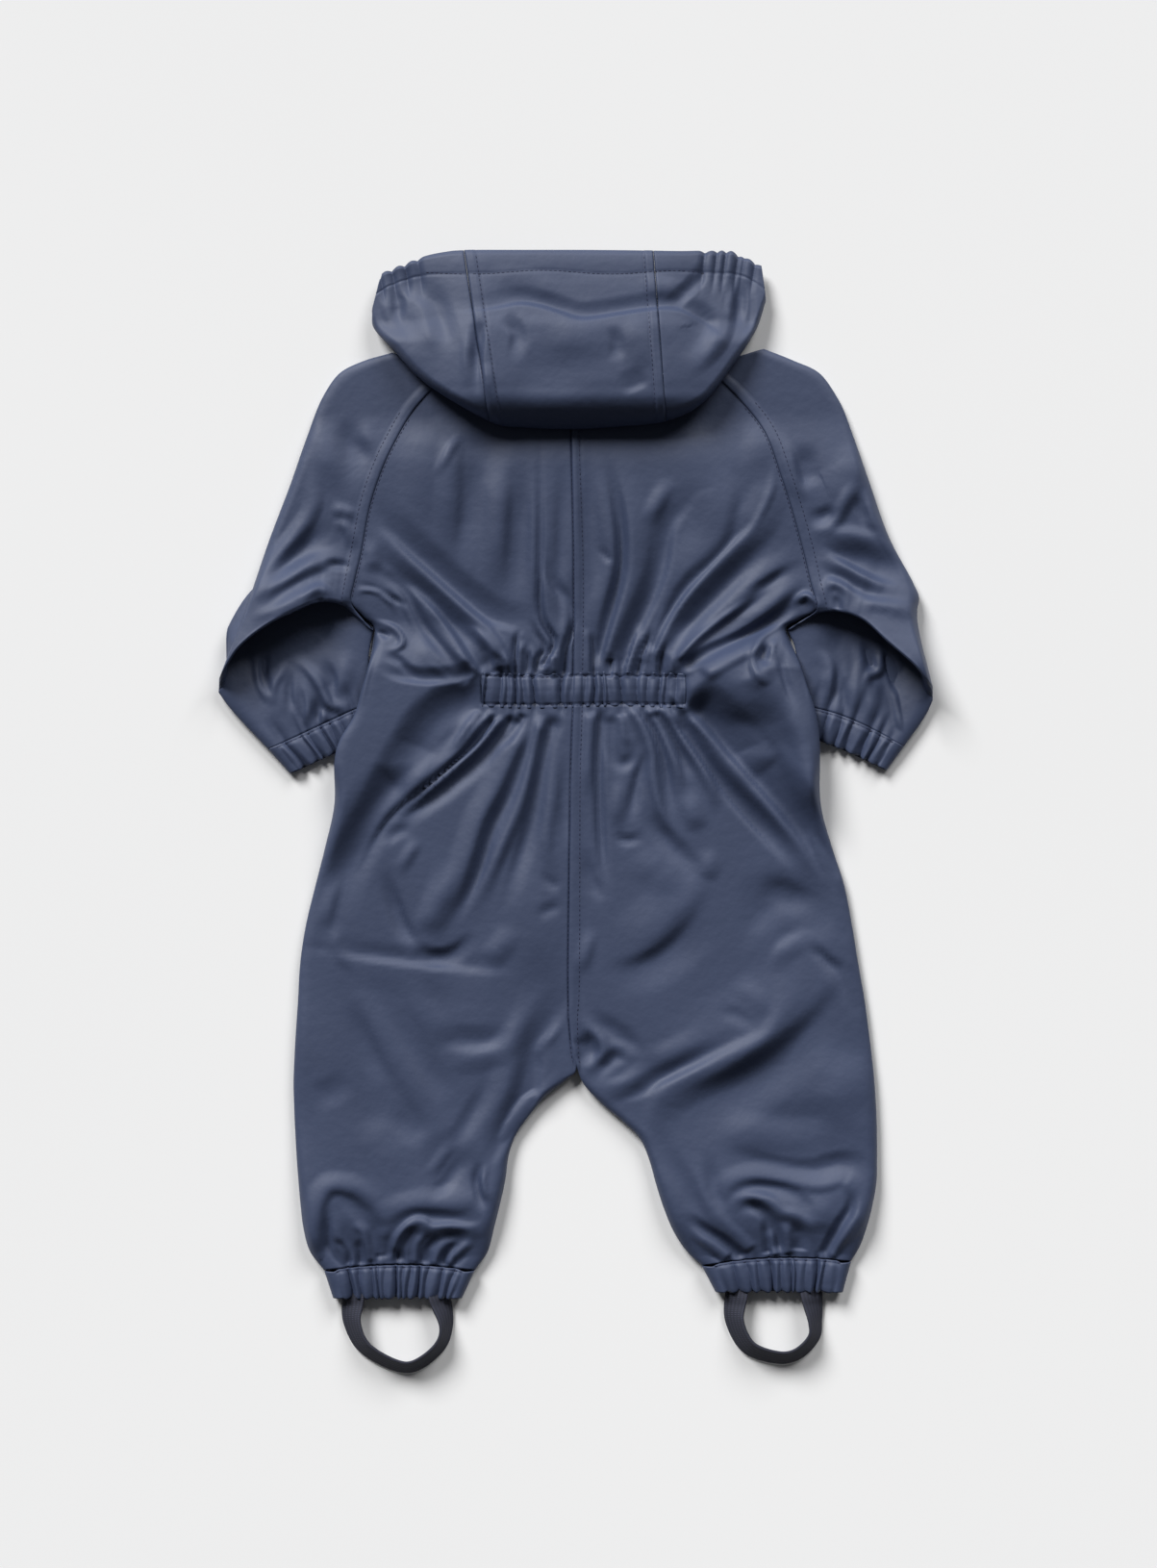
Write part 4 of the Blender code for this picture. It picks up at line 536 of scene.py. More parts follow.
# The elastics' gathers: those of the waist casing by their place along X, and those of a leg hem by
# the part of the way from its inner to its outer end.
Gather = namedtuple("Gather", "place depth")
CASING_GATHERS = rows_of(Gather,
    (-59.7, 1.2), (-50.1, 1.1), (-46.1, 0.8), (-40.6, 2), (-35.6, 1.1), (-28, 2.2), (-18.6, 0.5),
    (-9.5, 2.2), (-3.2, 0.7), (5.1, 0.9), (11, 2), (16.7, 1.1), (19.7, 0.8), (29.2, 2.2), (40.3, 1.5),
    (46.8, 1.1), (54.3, 1.4), (58.3, 0.9), (64.5, 0.7),
)
HEM_GATHERS = {
    LEFT: rows_of(Gather,
        (0.07, 1), (0.128, 1.2), (0.201, 1.4), (0.298, 1.2), (0.355, 2.2), (0.426, 1.2), (0.47, 1),
        (0.515, 2.2), (0.6, 0.6), (0.643, 1.1), (0.685, 1.1), (0.771, 1.5), (0.84, 2.2), (0.944, 1.3),
    ),
    RIGHT: rows_of(Gather,
        (0.08, 1.2), (0.194, 1.4), (0.291, 1.3), (0.362, 1.2), (0.452, 2.3), (0.523, 1.1), (0.594, 1.4),
        (0.623, 1), (0.7, 0.7), (0.775, 2.3), (0.827, 1.2), (0.943, 1.4),
    ),
}
# The inner and outer end of each leg hem, at its stitches and at its open edge.
HemEnds = namedtuple("HemEnds", "sewn_in sewn_out open_in open_out")
HEM_ENDS = {
    LEFT: HemEnds((-66.8, -300.9), (-165.2, -300.9), (-75, -318.5), (-159.5, -318.5)),
    RIGHT: HemEnds((82.2, -297.7), (179.8, -294.9), (91, -314.6), (174.5, -314.6)),
}
HEM_BOW = 4.0                            # the elastic draws the middle of a hem up this far
PUCKER_LEAN = 0.9                        # how far the casing's puckers lean to and fro
PINCH = 1.7                              # how sharply the cloth is pinched between two puckers
LEG_PULL, BACK_PULL = 1.2, 1.3           # the puckers' depth in the cloth above a hem, beside the casing
PRESSED = 0.6                            # the share of a crease that the casing presses out
# A fold that starts or ends beside the casing or above a hem is held there and hardly fades.
HELD_AT_CASING, HELD_BELOW = 14, -290
HELD_FADE, FREE_FADE = 0.08, 0.42        # the part of a fold's path over which it fades
PATH_STEPS = 4                           # places worked out for each point of a fold's path

# How each tucked cuff lifts the body: across from where it starts to where it is full, up from the
# foot side, and down again at the top side. The back swells up to that from a line that runs down
# and out from the casing's end, given by a place on it and the direction straight up the slope.
Tuck = namedtuple("Tuck", "start full foot foot_full top top_full x y up_x up_y")
TUCKS = {
    LEFT: Tuck(-88, -120, 8, 32, 109, 91, -60, 70, -0.78, 0.63),
    RIGHT: Tuck(96, 128, 14, 38, 111, 93, 68, 70, 0.79, 0.617),
}
SWELL_RISE, SWELL_TOP, SWELL_FOOT = (0, 34), (126, 90), (-75, -10)


def through(keys, values, at):
    """A smooth curve through a table's rows: a cubic with slopes from the neighbouring rows."""
    keys, values, at = np.asarray(keys, float), np.asarray(values, float), np.asarray(at, float)
    slopes = np.gradient(values, keys, axis=0)
    row = np.clip(np.searchsorted(keys, at, side="right") - 1, 0, len(keys) - 2)
    gap = keys[row + 1] - keys[row]
    t = (at - keys[row]) / gap
    if values.ndim == 2:
        t, gap = t[..., None], gap[..., None]
    return (values[row] * (1 + 2 * t) * (1 - t) ** 2 + values[row + 1] * t * t * (3 - 2 * t)
            + gap * (slopes[row] * t * (1 - t) ** 2 + slopes[row + 1] * t * t * (t - 1)))


def column(rows, *names):
    """The values of the named columns, row by row."""
    return [[getattr(row, name) for name in names] for row in rows]


def share(start, end, value):
    """The part of the way from start to end that value has gone, kept between 0 and 1."""
    return np.clip((value - start) / (end - start), 0, 1)


def unit(vectors):
    """Vectors of length 1 in the same directions."""
    return vectors / np.linalg.norm(vectors, axis=-1)[..., None]


def ease(start, end, value):
    """0 at start, 1 at end, smooth between them; start may be the larger one."""
    t = share(start, end, value)
    return t * t * (3 - 2 * t)


def groove(distance, width):
    """The sharp dent that a line of stitching or a gather pulls into the cloth, 1 at its bottom."""
    return np.clip(1 - np.abs(distance) / width, 0, None) ** 2


def fade_length(place):
    """The part of a fold's path over which it fades at this end: little where elastic holds it."""
    off_casing = max(abs(place[0] - BAND.x) - BAND.width / 2, abs(place[1] - BAND.y) - BAND.height / 2)
    return HELD_FADE if off_casing < HELD_AT_CASING or place[1] < HELD_BELOW else FREE_FADE


def relief(folds, x, y):
    """The sum of all folds at x, y. A fold is a soft ridge or trough that fades at its free ends."""
    total = np.zeros_like(x)
    for fold in folds:
        count = len(fold.path)
        line = through(range(count), fold.path, np.linspace(0, count - 1, PATH_STEPS * count))
        reach = max(fold.left, fold.right)
        near = np.ones_like(x, bool)
        for at, ends in ((x, line[:, 0]), (y, line[:, 1])):
            near &= np.abs(at - (ends.min() + ends.max()) / 2) < np.ptp(ends) / 2 + reach
        px, py = x[near], y[near]
        nearest, along, spread = np.full_like(px, np.inf), np.zeros_like(px), np.full_like(px, reach)
        for index, ((ax, ay), (bx, by)) in enumerate(zip(line, line[1:])):
            part = ((px - ax) * (bx - ax) + (py - ay) * (by - ay)) / ((bx - ax) ** 2 + (by - ay) ** 2)
            part = np.clip(part, 0, 1)
            distance = np.hypot(px - ax - part * (bx - ax), py - ay - part * (by - ay))
            on_left = (bx - ax) * (py - ay) > (by - ay) * (px - ax)
            closer = distance < nearest
            nearest = np.where(closer, distance, nearest)
            along = np.where(closer, (index + part) / (len(line) - 1), along)
            spread = np.where(closer, np.where(on_left, fold.left, fold.right), spread)
        fade = ease(0, fade_length(fold.path[0]), along) * ease(1, 1 - fade_length(fold.path[-1]), along)
        total[near] += fold.height * fade * np.clip(1 - (nearest / spread) ** 2, 0, None) ** 2
    return total


def ribs(at, gathers, start, end, end_depth=0):
    """How far gathered cloth is pulled in from start to end: in full at each gather, and not at all
    half way to the next."""
    places = np.array([start] + [row.place for row in gathers] + [end], float)
    depths = np.array([end_depth] + [row.depth for row in gathers] + [end_depth], float)
    low = np.clip(np.searchsorted(places, at, side="right") - 1, 0, len(places) - 2)
    part = share(places[low], places[low + 1], at)
    depth = depths[low] * (1 - part) + depths[low + 1] * part
    return depth * np.abs(2 * part - 1) ** PINCH


def casing_ribs(x, y):
    """The waist elastic's puckers, which lean a little to and fro over the casing's height."""
    bent = x - PUCKER_LEAN * np.sin((y - BAND.y) / 7 + x / 9)
    return ribs(bent, CASING_GATHERS, BAND.x - BAND.width / 2, BAND.x + BAND.width / 2)


def hem_ribs(x, y):
    """The puckers that run up into each leg from the elastic in its hem."""
    total = np.zeros_like(x)
    for side, gathers in HEM_GATHERS.items():
        near, far = HEM_ENDS[side].sewn_in[0], HEM_ENDS[side].sewn_out[0]
        total += ribs((x - near) / (far - near), gathers, 0, 1)
    return total * ease(*LEG_PUCKERS, y)


def hem_bow(x, y):
    """How far the elastic draws each leg hem's stitching up between its two sides."""
    total = np.zeros_like(x)
    for ends in HEM_ENDS.values():
        near, far = ends.sewn_in[0], ends.sewn_out[0]
        total += HEM_BOW * np.clip(1 - ((2 * x - near - far) / (far - near)) ** 2, 0, 1)
    return total * ease(*BOW_RISE, y) * ease(*BOW_END, y)


def tuck_lift(x, y):
    """How far the side seams are raised where the body lies on the tucked cuffs."""
    left, right = (ease(tuck.start, tuck.full, x) * ease(tuck.foot, tuck.foot_full, y)
                   * ease(tuck.top, tuck.top_full, y) for tuck in (TUCKS[LEFT], TUCKS[RIGHT]))
    return TUCK_LIFT * np.where(x < 0, left, right)


def swell(x, y):
    """How far the back rises over the tucked cuffs and on the slopes that lead up to them."""
    left, right = (tuck.up_x * (x - tuck.x) + tuck.up_y * (y - tuck.y)
                   for tuck in (TUCKS[LEFT], TUCKS[RIGHT]))
    slope = ease(*SWELL_RISE, np.where(x < 0, left, right)) * ease(*SWELL_TOP, y) * ease(*SWELL_FOOT, y)
    return np.maximum(TUCK_LIFT * slope, tuck_lift(x, y))


def top_face(x, y, sunk=BAND_SINK):
    """Height of the outer face of the back and of the upper arms, away from their rounded edges. The
    back is sunk a little behind the waist casing."""
    off_band = np.maximum(np.abs(x - BAND.x) - BAND.width / 2, np.abs(y - BAND.y) - BAND.height / 2)
    folds = relief(UPPER_BACK_FOLDS + LOWER_BACK_FOLDS + LEG_FOLDS + ARMHOLE_FOLDS, x, y)
    folds = folds * (1 - PRESSED * ease(*CASING_PRESS, off_band)) + relief(SLEEVE_FOLDS, x, y)
    folds = folds * ease(*BACK_FROM_HOOD, y) + relief(ARM_ARCH, x, y) * ease(*ARMS_FROM_HOOD, y)
    slack = LEG_LOFT * ease(*LEG_BILLOW, y) - HEM_FALL * ease(*HEM_CLOSE, y)
    slack += SHOULDER_LOFT * ease(*SHOULDER_RISE, y) * ease(*SHOULDER_END, y)
    height = LOFT + slack + folds - sunk * ease(*CASING_SEAT, off_band) - LEG_PULL * hem_ribs(x, y)
    height -= BACK_PULL * casing_ribs(x, y) * ease(*CASING_PULL, off_band) * ease(*CASING_CLEAR, off_band)
    return LEAST_LOFT + np.logaddexp(0, height - LEAST_LOFT) + swell(x, y)


def across(u, width, roll_in, roll_out):
    """How far u is from the inner edge, and how far the cloth has dropped over each rounded edge."""
    turn_in = math.pi / 2 * (1 - share(0, ROLL_IN_END, u))
    turn_out = math.pi / 2 * share(ROLL_OUT_START, 1, u)
    part = share(ROLL_IN_END, ROLL_OUT_START, u)
    distance = (SEAM / 2 + roll_in * (1 - np.sin(turn_in)) + part * (width - SEAM - roll_in - roll_out)
                + roll_out * np.sin(turn_out))
    return distance, 1 - np.cos(turn_in), 1 - np.cos(turn_out)


def body_edge(side, layer, v):
    """The outer edge of the back or the front at row v of BODY, which is also the sleeve's inner edge."""
    return through(range(len(BODY[side])), column(BODY[side], f"{layer}_x", f"{layer}_y"), v)


def centre_strip(x, y):
    """The felled centre seam's low ridge between its two stitched grooves."""
    places = [row.y for row in CENTRE_SEAM]
    left = np.interp(y, places, [row.left for row in CENTRE_SEAM])
    right = np.interp(y, places, [row.right for row in CENTRE_SEAM])
    ridge = STRIP_RISE * ease(left - 0.3, left + 0.8, x) * ease(right + STRIP_FOOT, right - STRIP_EDGE, x)
    stitched = groove(x - right - OFF_STRIP, STITCH_WIDTH) + groove(x - left + 0.2, 1.4)
    return (ridge - GROOVE * stitched) * ease(*SEAM_END, y)


def panel(side, layer):
    """The outer face of one back or front panel: u runs across it, v down the rows of BODY."""
    rows = BODY[side]

    def face(u, v):
        keys = range(len(rows))
        inner = through(keys, column(rows, "inner_x", "inner_y"), v)
        if layer == "front":
            inner[..., 1] -= FRONT_NECK_DROP * np.clip(1 - v / 3, 0, 1) ** 2
            beside_closure = side * (CLOSURE.width / 2 + SEAM / 2) - inner[..., 0]
            inner[..., 0] += beside_closure * np.interp(v, CLOSURE_ROWS, [1, 0])
        outer = body_edge(side, layer, v)
        side_weight = np.interp(v, keys, [row.side for row in rows])
        leg_weight = np.interp(v, keys, [row.leg for row in rows])
        width = np.linalg.norm(outer - inner, axis=-1)
        roll_in = PLAIN_ROLL + (CORNER_ROLL - PLAIN_ROLL) * leg_weight
        distance, drop_in, drop_out = across(u, width, roll_in, CORNER_ROLL)
        x, y = np.moveaxis(inner + (outer - inner) * (distance / width)[..., None], -1, 0)
        drop = leg_weight * drop_in + side_weight * drop_out
        if layer == "front":
            flat, rim = tuck_lift(x, y), RIM + tuck_lift(x, y) - SEAM / 2
        else:
            rim = RIM + tuck_lift(x, y) + SEAM / 2
            near_rim = np.maximum(side_weight * ease(*EDGE_BLEND, width - distance),
                                  leg_weight * ease(*EDGE_BLEND, distance))
            flat = np.maximum(top_face(x, y), (rim + RIM_HEADROOM) * near_rim) + centre_strip(x, y)
            y = y + hem_bow(x, y)
        return np.stack([x, y, flat - drop * (flat - rim)], axis=-1)

    return face


def steps(*stops):
    """Samples through stops given as value, count, value, count, value."""
    samples = [stops[0]]
    for start, count, end in zip(stops[::2], stops[1::2], stops[2::2]):
        samples += [start + (end - start) * (i + 1) / count for i in range(count)]
    return samples


def cloth_piece(name, face, us, vs, outward, material, thickness=CLOTH, closed=False):
    """A thin sheet whose outer face is sampled at us and vs, with a wall of the cloth's thickness.
    outward is 1 where u cross v points out of the cloth. Its UV map holds real sizes in metres."""
    u, v = np.meshgrid(np.asarray(us, float), np.asarray(vs, float))
    points = face(u, v) * MM
    along_u = np.cumsum(np.linalg.norm(np.diff(points, axis=1, prepend=points[:, :1]), axis=-1), axis=1)
    along_v = np.cumsum(np.linalg.norm(np.diff(points, axis=0, prepend=points[:1]), axis=-1), axis=0)
    rows, columns = u.shape
    wrapped = columns - 1 if closed else columns
    number = np.arange(rows)[:, None] * wrapped + np.arange(columns) % wrapped
    grid = np.arange(rows * columns).reshape(rows, columns)
    quads, flat = (np.stack([n[:-1, :-1], n[:-1, 1:], n[1:, 1:], n[1:, :-1]], axis=-1).reshape(-1, 4)
                   for n in (number, grid))
    if outward < 0:
        quads, flat = quads[:, ::-1], flat[:, ::-1]
    mesh = bpy.data.meshes.new(name)
    mesh.from_pydata(points[:, :wrapped].reshape(-1, 3).tolist(), [], quads.tolist())
    threads = mesh.uv_layers.new(name="threads")
    uv = np.stack([along_u, along_v], axis=-1).reshape(-1, 2)[flat.reshape(-1)]
    threads.data.foreach_set("uv", uv.reshape(-1))
    mesh.materials.append(material)
    mesh.shade_smooth()
    piece = bpy.data.objects.new(name, mesh)
    bpy.context.scene.collection.objects.link(piece)
    bpy.context.view_layer.objects.active = piece
    wall = piece.modifiers.new("wall", "SOLIDIFY")
    wall.thickness = thickness * MM
    wall.offset = -1
    bpy.ops.object.modifier_apply(modifier=wall.name)
    places = np.empty(3 * len(mesh.vertices))
    mesh.vertices.foreach_get("co", places)
    places[2::3] = np.maximum(places[2::3], 0)
    mesh.vertices.foreach_set("co", places)
    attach(piece, "root")
    return piece


def lay_cloth(node, face, us, vs, outward, closed=False):
    """A cut piece of the coated cloth that lies in place of its CAD node."""
    piece = cloth_piece(f"{node}_cloth", face, us, vs, outward, coated, closed=closed)
    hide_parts(node)


# Polyester taffeta under a satin polyurethane coat: even and slightly waxy, with a broad soft
# highlight, fine crumples a few millimetres long and a weave that only just shows.
THREADS = 0.9          # drawn spacing of the threads; the real ones, about 0.2, are too fine to show
CRUMPLE = 6.0          # usual size of the fine crumples
WAVE_STEP = 0.314      # how far apart Blender draws a wave texture's bands at a scale of 1, in metres
coated, tree, shader = new_material("coated_taffeta", roughness=0.6, ior=1.5)
spot = add(tree, "TexCoord").outputs["Object"]
cloud = add(tree, "TexNoise", Vector=spot, Scale=22, Detail=3).outputs["Fac"]
tone = add(tree, "Mix", [("data_type", "RGBA")], _0=cloud, _6=colour("#343e58"), _7=colour("#3c4763"))
tree.links.new(tone.outputs[2], shader.inputs["Base Color"])
gloss = add(tree, "MapRange", Value=cloud, To_Min=0.56, To_Max=0.64).outputs[0]
tree.links.new(gloss, shader.inputs["Roughness"])
crumple = add(tree, "TexNoise", Vector=spot, Scale=1 / (CRUMPLE * MM), Detail=2, Roughness=0.45)
soft = add(tree, "Bump", Strength=0.5, Distance=0.5 * MM, Height=crumple.outputs["Fac"]).outputs["Normal"]
uv = add(tree, "UVMap", [("uv_map", "threads")]).outputs["UV"]
weave_scale = WAVE_STEP / (THREADS * MM)
warp = add(tree, "TexWave", [("bands_direction", "X")], Vector=uv, Scale=weave_scale).outputs["Fac"]
weft = add(tree, "TexWave", [("bands_direction", "Y")], Vector=uv, Scale=weave_scale).outputs["Fac"]
weave = add(tree, "Math", [("operation", "MULTIPLY")], _0=warp, _1=weft).outputs[0]
fine = add(tree, "Bump", Strength=0.25, Distance=0.02 * MM, Height=weave, Normal=soft).outputs["Normal"]
tree.links.new(fine, shader.inputs["Normal"])

SIDES = ((LEFT, "left", 1), (RIGHT, "right", -1))     # u cross v points up on the left, down on the right
BACK_ACROSS = steps(0, 6, ROLL_IN_END, 74, ROLL_OUT_START, 8, 1)
BACK_DOWN = steps(0, 84, RAGLAN_END, 22, UNDERARM, 66, BELOW_WAIST, 190, len(BODY[LEFT]) - 1)
for side, word, up in SIDES:
    lay_cloth(f"back_{word}", panel(side, "back"), BACK_ACROSS, BACK_DOWN, up)

# ---- Waist casing ----
# Across the small of the back the same cloth is doubled over an elastic about 20 mm wide and
# stitched down above and below it. The elastic gathers it into uneven puckers.

PUCKERED = 2.3         # depth of its puckers against those listed
CASING_EDGE = 1.6      # the casing's cloth runs on this far past its band
EDGE_PUCKERED = 0.6    # their share of that depth along its two edges
CASING_OFF = 0.25      # it clears the sunken back by this much at its edges
FIRST_RISE, FULL_RISE = 0.3, 1.4     # it rises sharply at its edges and then softly over the elastic
STITCH_DIP, STITCH_IN = 0.7, 0.6     # how deep its stitches pull in, and how far inside the band they are
END_DIP, END_LENGTH = 0.5, 3         # its two ends drop this far over this length
WAVER, WAVER_STEP = 0.8, 17          # its line wavers this far to and fro, over about six times this length
SEAM_UNDER = 0.6       # the share of the centre seam's relief that shows through it


def casing(u, v):
    """The outer face of the waist casing: puckers between two sunken lines of stitching."""
    x = BAND.x + (u - 0.5) * BAND.width
    down = (v - 0.5) * (BAND.height + 2 * CASING_EDGE)
    y = BAND.y - down + WAVER * np.sin(x / WAVER_STEP)
    middle = 1 - np.abs(2 * v - 1)
    height = top_face(x, y, 0) + CASING_OFF + FIRST_RISE * ease(0, 0.15, middle)
    height += FULL_RISE * ease(0.05, 0.9, middle)
    height -= PUCKERED * casing_ribs(x, y) * (EDGE_PUCKERED + (1 - EDGE_PUCKERED) * middle)
    at_stitches = groove(down - BAND.height / 2 + STITCH_IN, STITCH_WIDTH)
    at_stitches += groove(down + BAND.height / 2 - STITCH_IN, STITCH_WIDTH)
    at_ends = np.abs(x - BAND.x) - BAND.width / 2
    height = height - STITCH_DIP * at_stitches - END_DIP * ease(-END_LENGTH, 0, at_ends)
    return np.stack([x, y, height + centre_strip(x, y) * SEAM_UNDER], axis=-1)


lay_cloth("waist_casing", casing, steps(0, 260, 1), steps(0, 28, 1), -1)

# ---- Front panels and the closure between them ----
# The two halves of the front lie flat on the floor under the back, of the same cloth. The strip
# between them stands for the front opening, which the photograph hides.

FRONT_ACROSS = steps(0, 6, ROLL_IN_END, 26, ROLL_OUT_START, 8, 1)
FRONT_DOWN = steps(0, 36, UNDERARM, 120, len(BODY[LEFT]) - 1)
for side, word, up in SIDES:
    lay_cloth(f"front_{word}", panel(side, "front"), FRONT_ACROSS, FRONT_DOWN, -up)


def closure(u, v):
    """The outer face of the closure strip, flat on the floor between the two fronts."""
    top, foot = CLOSURE.y + CLOSURE.height / 2, CLOSURE.y - CLOSURE.height / 2
    y = np.where(v < 1, top + (foot - top) * v, foot - CLOSURE_TIP * (v - 1))
    half = CLOSURE.width / 2 + (SEAM - CLOSURE.width / 2) * np.clip(v - 1, 0, 1)
    return np.stack([CLOSURE.x + (2 * u - 1) * half, y, np.zeros_like(y)], axis=-1)


lay_cloth("front_closure", closure, steps(0, 8, 1), steps(0, 100, 1, 6, 2), 1)

# ---- Sleeves ----
# Each raglan sleeve is an upper and an under piece, joined along the shoulder and the underarm.
# The upper arm turns down over the forearm, which goes back under it to the cuff.

# The outer edge of each upper arm, against the rows of BODY.
ArmEdge = namedtuple("ArmEdge", "row x y")
ARM_EDGE = {
    LEFT: rows_of(ArmEdge,
        (0, -121, 300.5), (0.7, -140, 295), (1.4, -156, 286.5), (2, -165.5, 273), (3, -177, 244.5),
        (4, -188, 213), (5, -202, 176), (6, -217, 131.5), (7, -234, 86),
    ),
    RIGHT: rows_of(ArmEdge,
        (0, 123, 303), (0.7, 142, 295.5), (1.4, 160, 286.5), (2, 171, 271), (3, 181, 247),
        (4, 191.5, 217), (5, 206, 177), (5.7, 221, 149), (6, 224.5, 140), (6.3, 223, 128),
        (6.6, 226, 110), (7, 233.2, 81),
    ),
}
# Places across a sleeve from the body (0) to the outer edge (1): where the upper arm folds under,
# how deep the cloth goes back there, where the cuff is sewn on, and the cuff's end.
Across = namedtuple("Across", "part fold_x fold_y depth cuff_x cuff_y end_x end_y")
SLEEVE = {
    LEFT: rows_of(Across,
        (0, -147, 137, 0, -132.6, 72, -128.2, 51.5),
        (0.2, -166, 137, 16, -146.5, 66, -140, 46.5),
        (0.4, -184, 129.5, 26, -160.5, 59.5, -151.8, 41.2),
        (0.6, -202, 120.5, 24, -174.5, 53, -163.8, 35.8),
        (0.8, -220, 106, 14, -188.5, 46.5, -175.8, 30.2),
        (1, -234, 86, 4, -202.2, 40.8, -187.6, 24.6),
    ),
    RIGHT: rows_of(Across,
        (0, 157, 133, 0, 138.9, 73, 137.7, 52.8),
        (0.2, 171.5, 130.5, 16, 154.5, 68, 151.2, 49.2),
        (0.4, 186.5, 124.5, 26, 170, 63.8, 164.5, 44.4),
        (0.6, 201.5, 110.5, 24, 185.2, 57.8, 177.8, 39),
        (0.8, 218, 96, 14, 200, 50.5, 190.8, 33),
        (1, 233.2, 81, 4, 214.5, 42.5, 203.2, 26.8),
    ),
}
# The forearm's edge beside and under the body, and its outer edge, from the fold to the cuff.
ForearmEdge = namedtuple("ForearmEdge", "part inner_x inner_y outer_x outer_y")
FOREARM = {
    LEFT: rows_of(ForearmEdge,
        (0, -133.2, 118.2, -234.6, 78), (0.25, -135.4, 107, -229, 70), (0.5, -135.8, 97, -220, 59.5),
        (0.75, -133.8, 85, -211, 50), (1, -132.6, 72, -202.2, 40.8),
    ),
    RIGHT: rows_of(ForearmEdge,
        (0, 138.2, 118.6, 233.6, 73), (0.25, 142.6, 109, 230, 65), (0.5, 143.8, 99, 225, 57),
        (0.75, 141, 86, 220, 50), (1, 138.9, 73, 214.5, 42.5),
    ),
}
FOLD_RADIUS = 1.9      # of the turned edge, to the cloth's outer face
HOLLOW_RADIUS = 2.1    # of the turn at the back of the hollow
FOREARM_LOFT = 6.4     # height of the forearm's top face
HOLLOW_DIP = 4.6       # how far it dips into the hollow under the upper arm
TURNED, HOLLOW, CUFF_ROW = 7.6, 8.2, 13      # the sleeve's rows go on past the body's at the underarm
UNDERARM_CLEAR = (0.6, -0.9)     # how far its inner edge bows away from the body on the way there
NEAR_BODY = 0.3        # the part of its width beside the body where the fold and the hollow die out
NEAR_EDGE = (0.96, 0.8)          # and where they do at its outer edge
HOLLOW_REACH = (48, 14)          # how far from the fold the forearm starts to dip, and is down
RAGLAN_STRIP = 6.4     # width of the felled raglan seam, on the sleeve's side
STRIP_END = (RAGLAN_END + 0.2, RAGLAN_END - 0.3)     # it dies out between these rows
CUFF_PULL = 1.5        # how deep the cuff's puckers are in the forearm
CUFF_REACH = 0.72      # the part of the forearm that lies above them
FOREARM_FOLDS = rows_of(Fold,
    (3.6, 6, 4.2, [(-191, 100), (-181, 97), (-172, 88), (-166, 77), (-162, 70), (-153, 68), (-145, 73)]),
    (2.7, 3.6, 4.8, [(-190, 100), (-194, 90), (-198, 82), (-198, 68)]),
    (2.7, 4.8, 3.6, [(-181, 88), (-176, 74), (-176, 65), (-179, 54)]),
    (2.7, 3.6, 4.8, [(-211, 109), (-210, 90), (-206, 79), (-196, 70)]),
    (-3, 4.8, 4.8, [(-204, 111), (-205, 90), (-201, 76)]),
    (-2.7, 4.8, 7.2, [(-167, 101), (-160, 87), (-160, 73)]),
    (2.1, 8.4, 7.2, [(-150, 109), (-152, 88), (-157, 76)]),
    (-2.7, 3.6, 4.8, [(-187, 94), (-188, 78), (-186, 62)]),
    (-2.4, 3.6, 3.6, [(-172, 76), (-169, 66), (-170, 58)]),
    (2.2, 3, 3, [(-167, 68), (-165, 62), (-165, 58)]),
    (2.7, 4.8, 7.2, [(153, 106), (163, 101), (167, 93), (166, 83), (164, 66)]),
    (-2.7, 6, 4.8, [(169, 103), (171, 83), (168, 66)]),
    (2.4, 8.4, 6, [(182, 118), (186, 100), (185, 87), (182, 74), (180, 64)]),
    (3.3, 4.8, 4.8, [(191, 122), (199, 107), (199, 99), (198, 92), (192, 89), (190, 80), (191, 59)]),
    (-3, 4.8, 4.8, [(188, 116), (192, 99), (194, 92)]),
    (-3.9, 7.2, 3.6, [(201, 111), (206, 92), (210, 75)]),
    (2.1, 7.2, 6, [(196, 89), (194, 74), (193, 58)]),
    (3, 4.8, 4.8, [(202, 92), (209, 74), (212, 58), (216, 43)]),
    (-2.7, 9.6, 6, [(210, 104), (216, 83), (218, 65), (219, 50)]),
    (-2.4, 3.6, 3.6, [(176, 90), (175, 76), (174, 64)]),
)
# The puckers of each cuff, by the part of the way from its inner side; they run up into the forearm.
RING_ENDS = 0.6        # the gathers' depth at the two sides
CUFF_GATHERS = {
    LEFT: rows_of(Gather,
        (0.09, 1), (0.2, 1.3), (0.326, 1.4), (0.434, 1.2), (0.507, 1.6), (0.63, 1.2), (0.69, 1),
        (0.84, 1.5), (0.94, 0.8),
    ),
    RIGHT: rows_of(Gather,
        (0.08, 1), (0.2, 1.2), (0.33, 1.6), (0.459, 1.3), (0.557, 1.5), (0.709, 1.6), (0.792, 1.4),
        (0.9, 1),
    ),
}


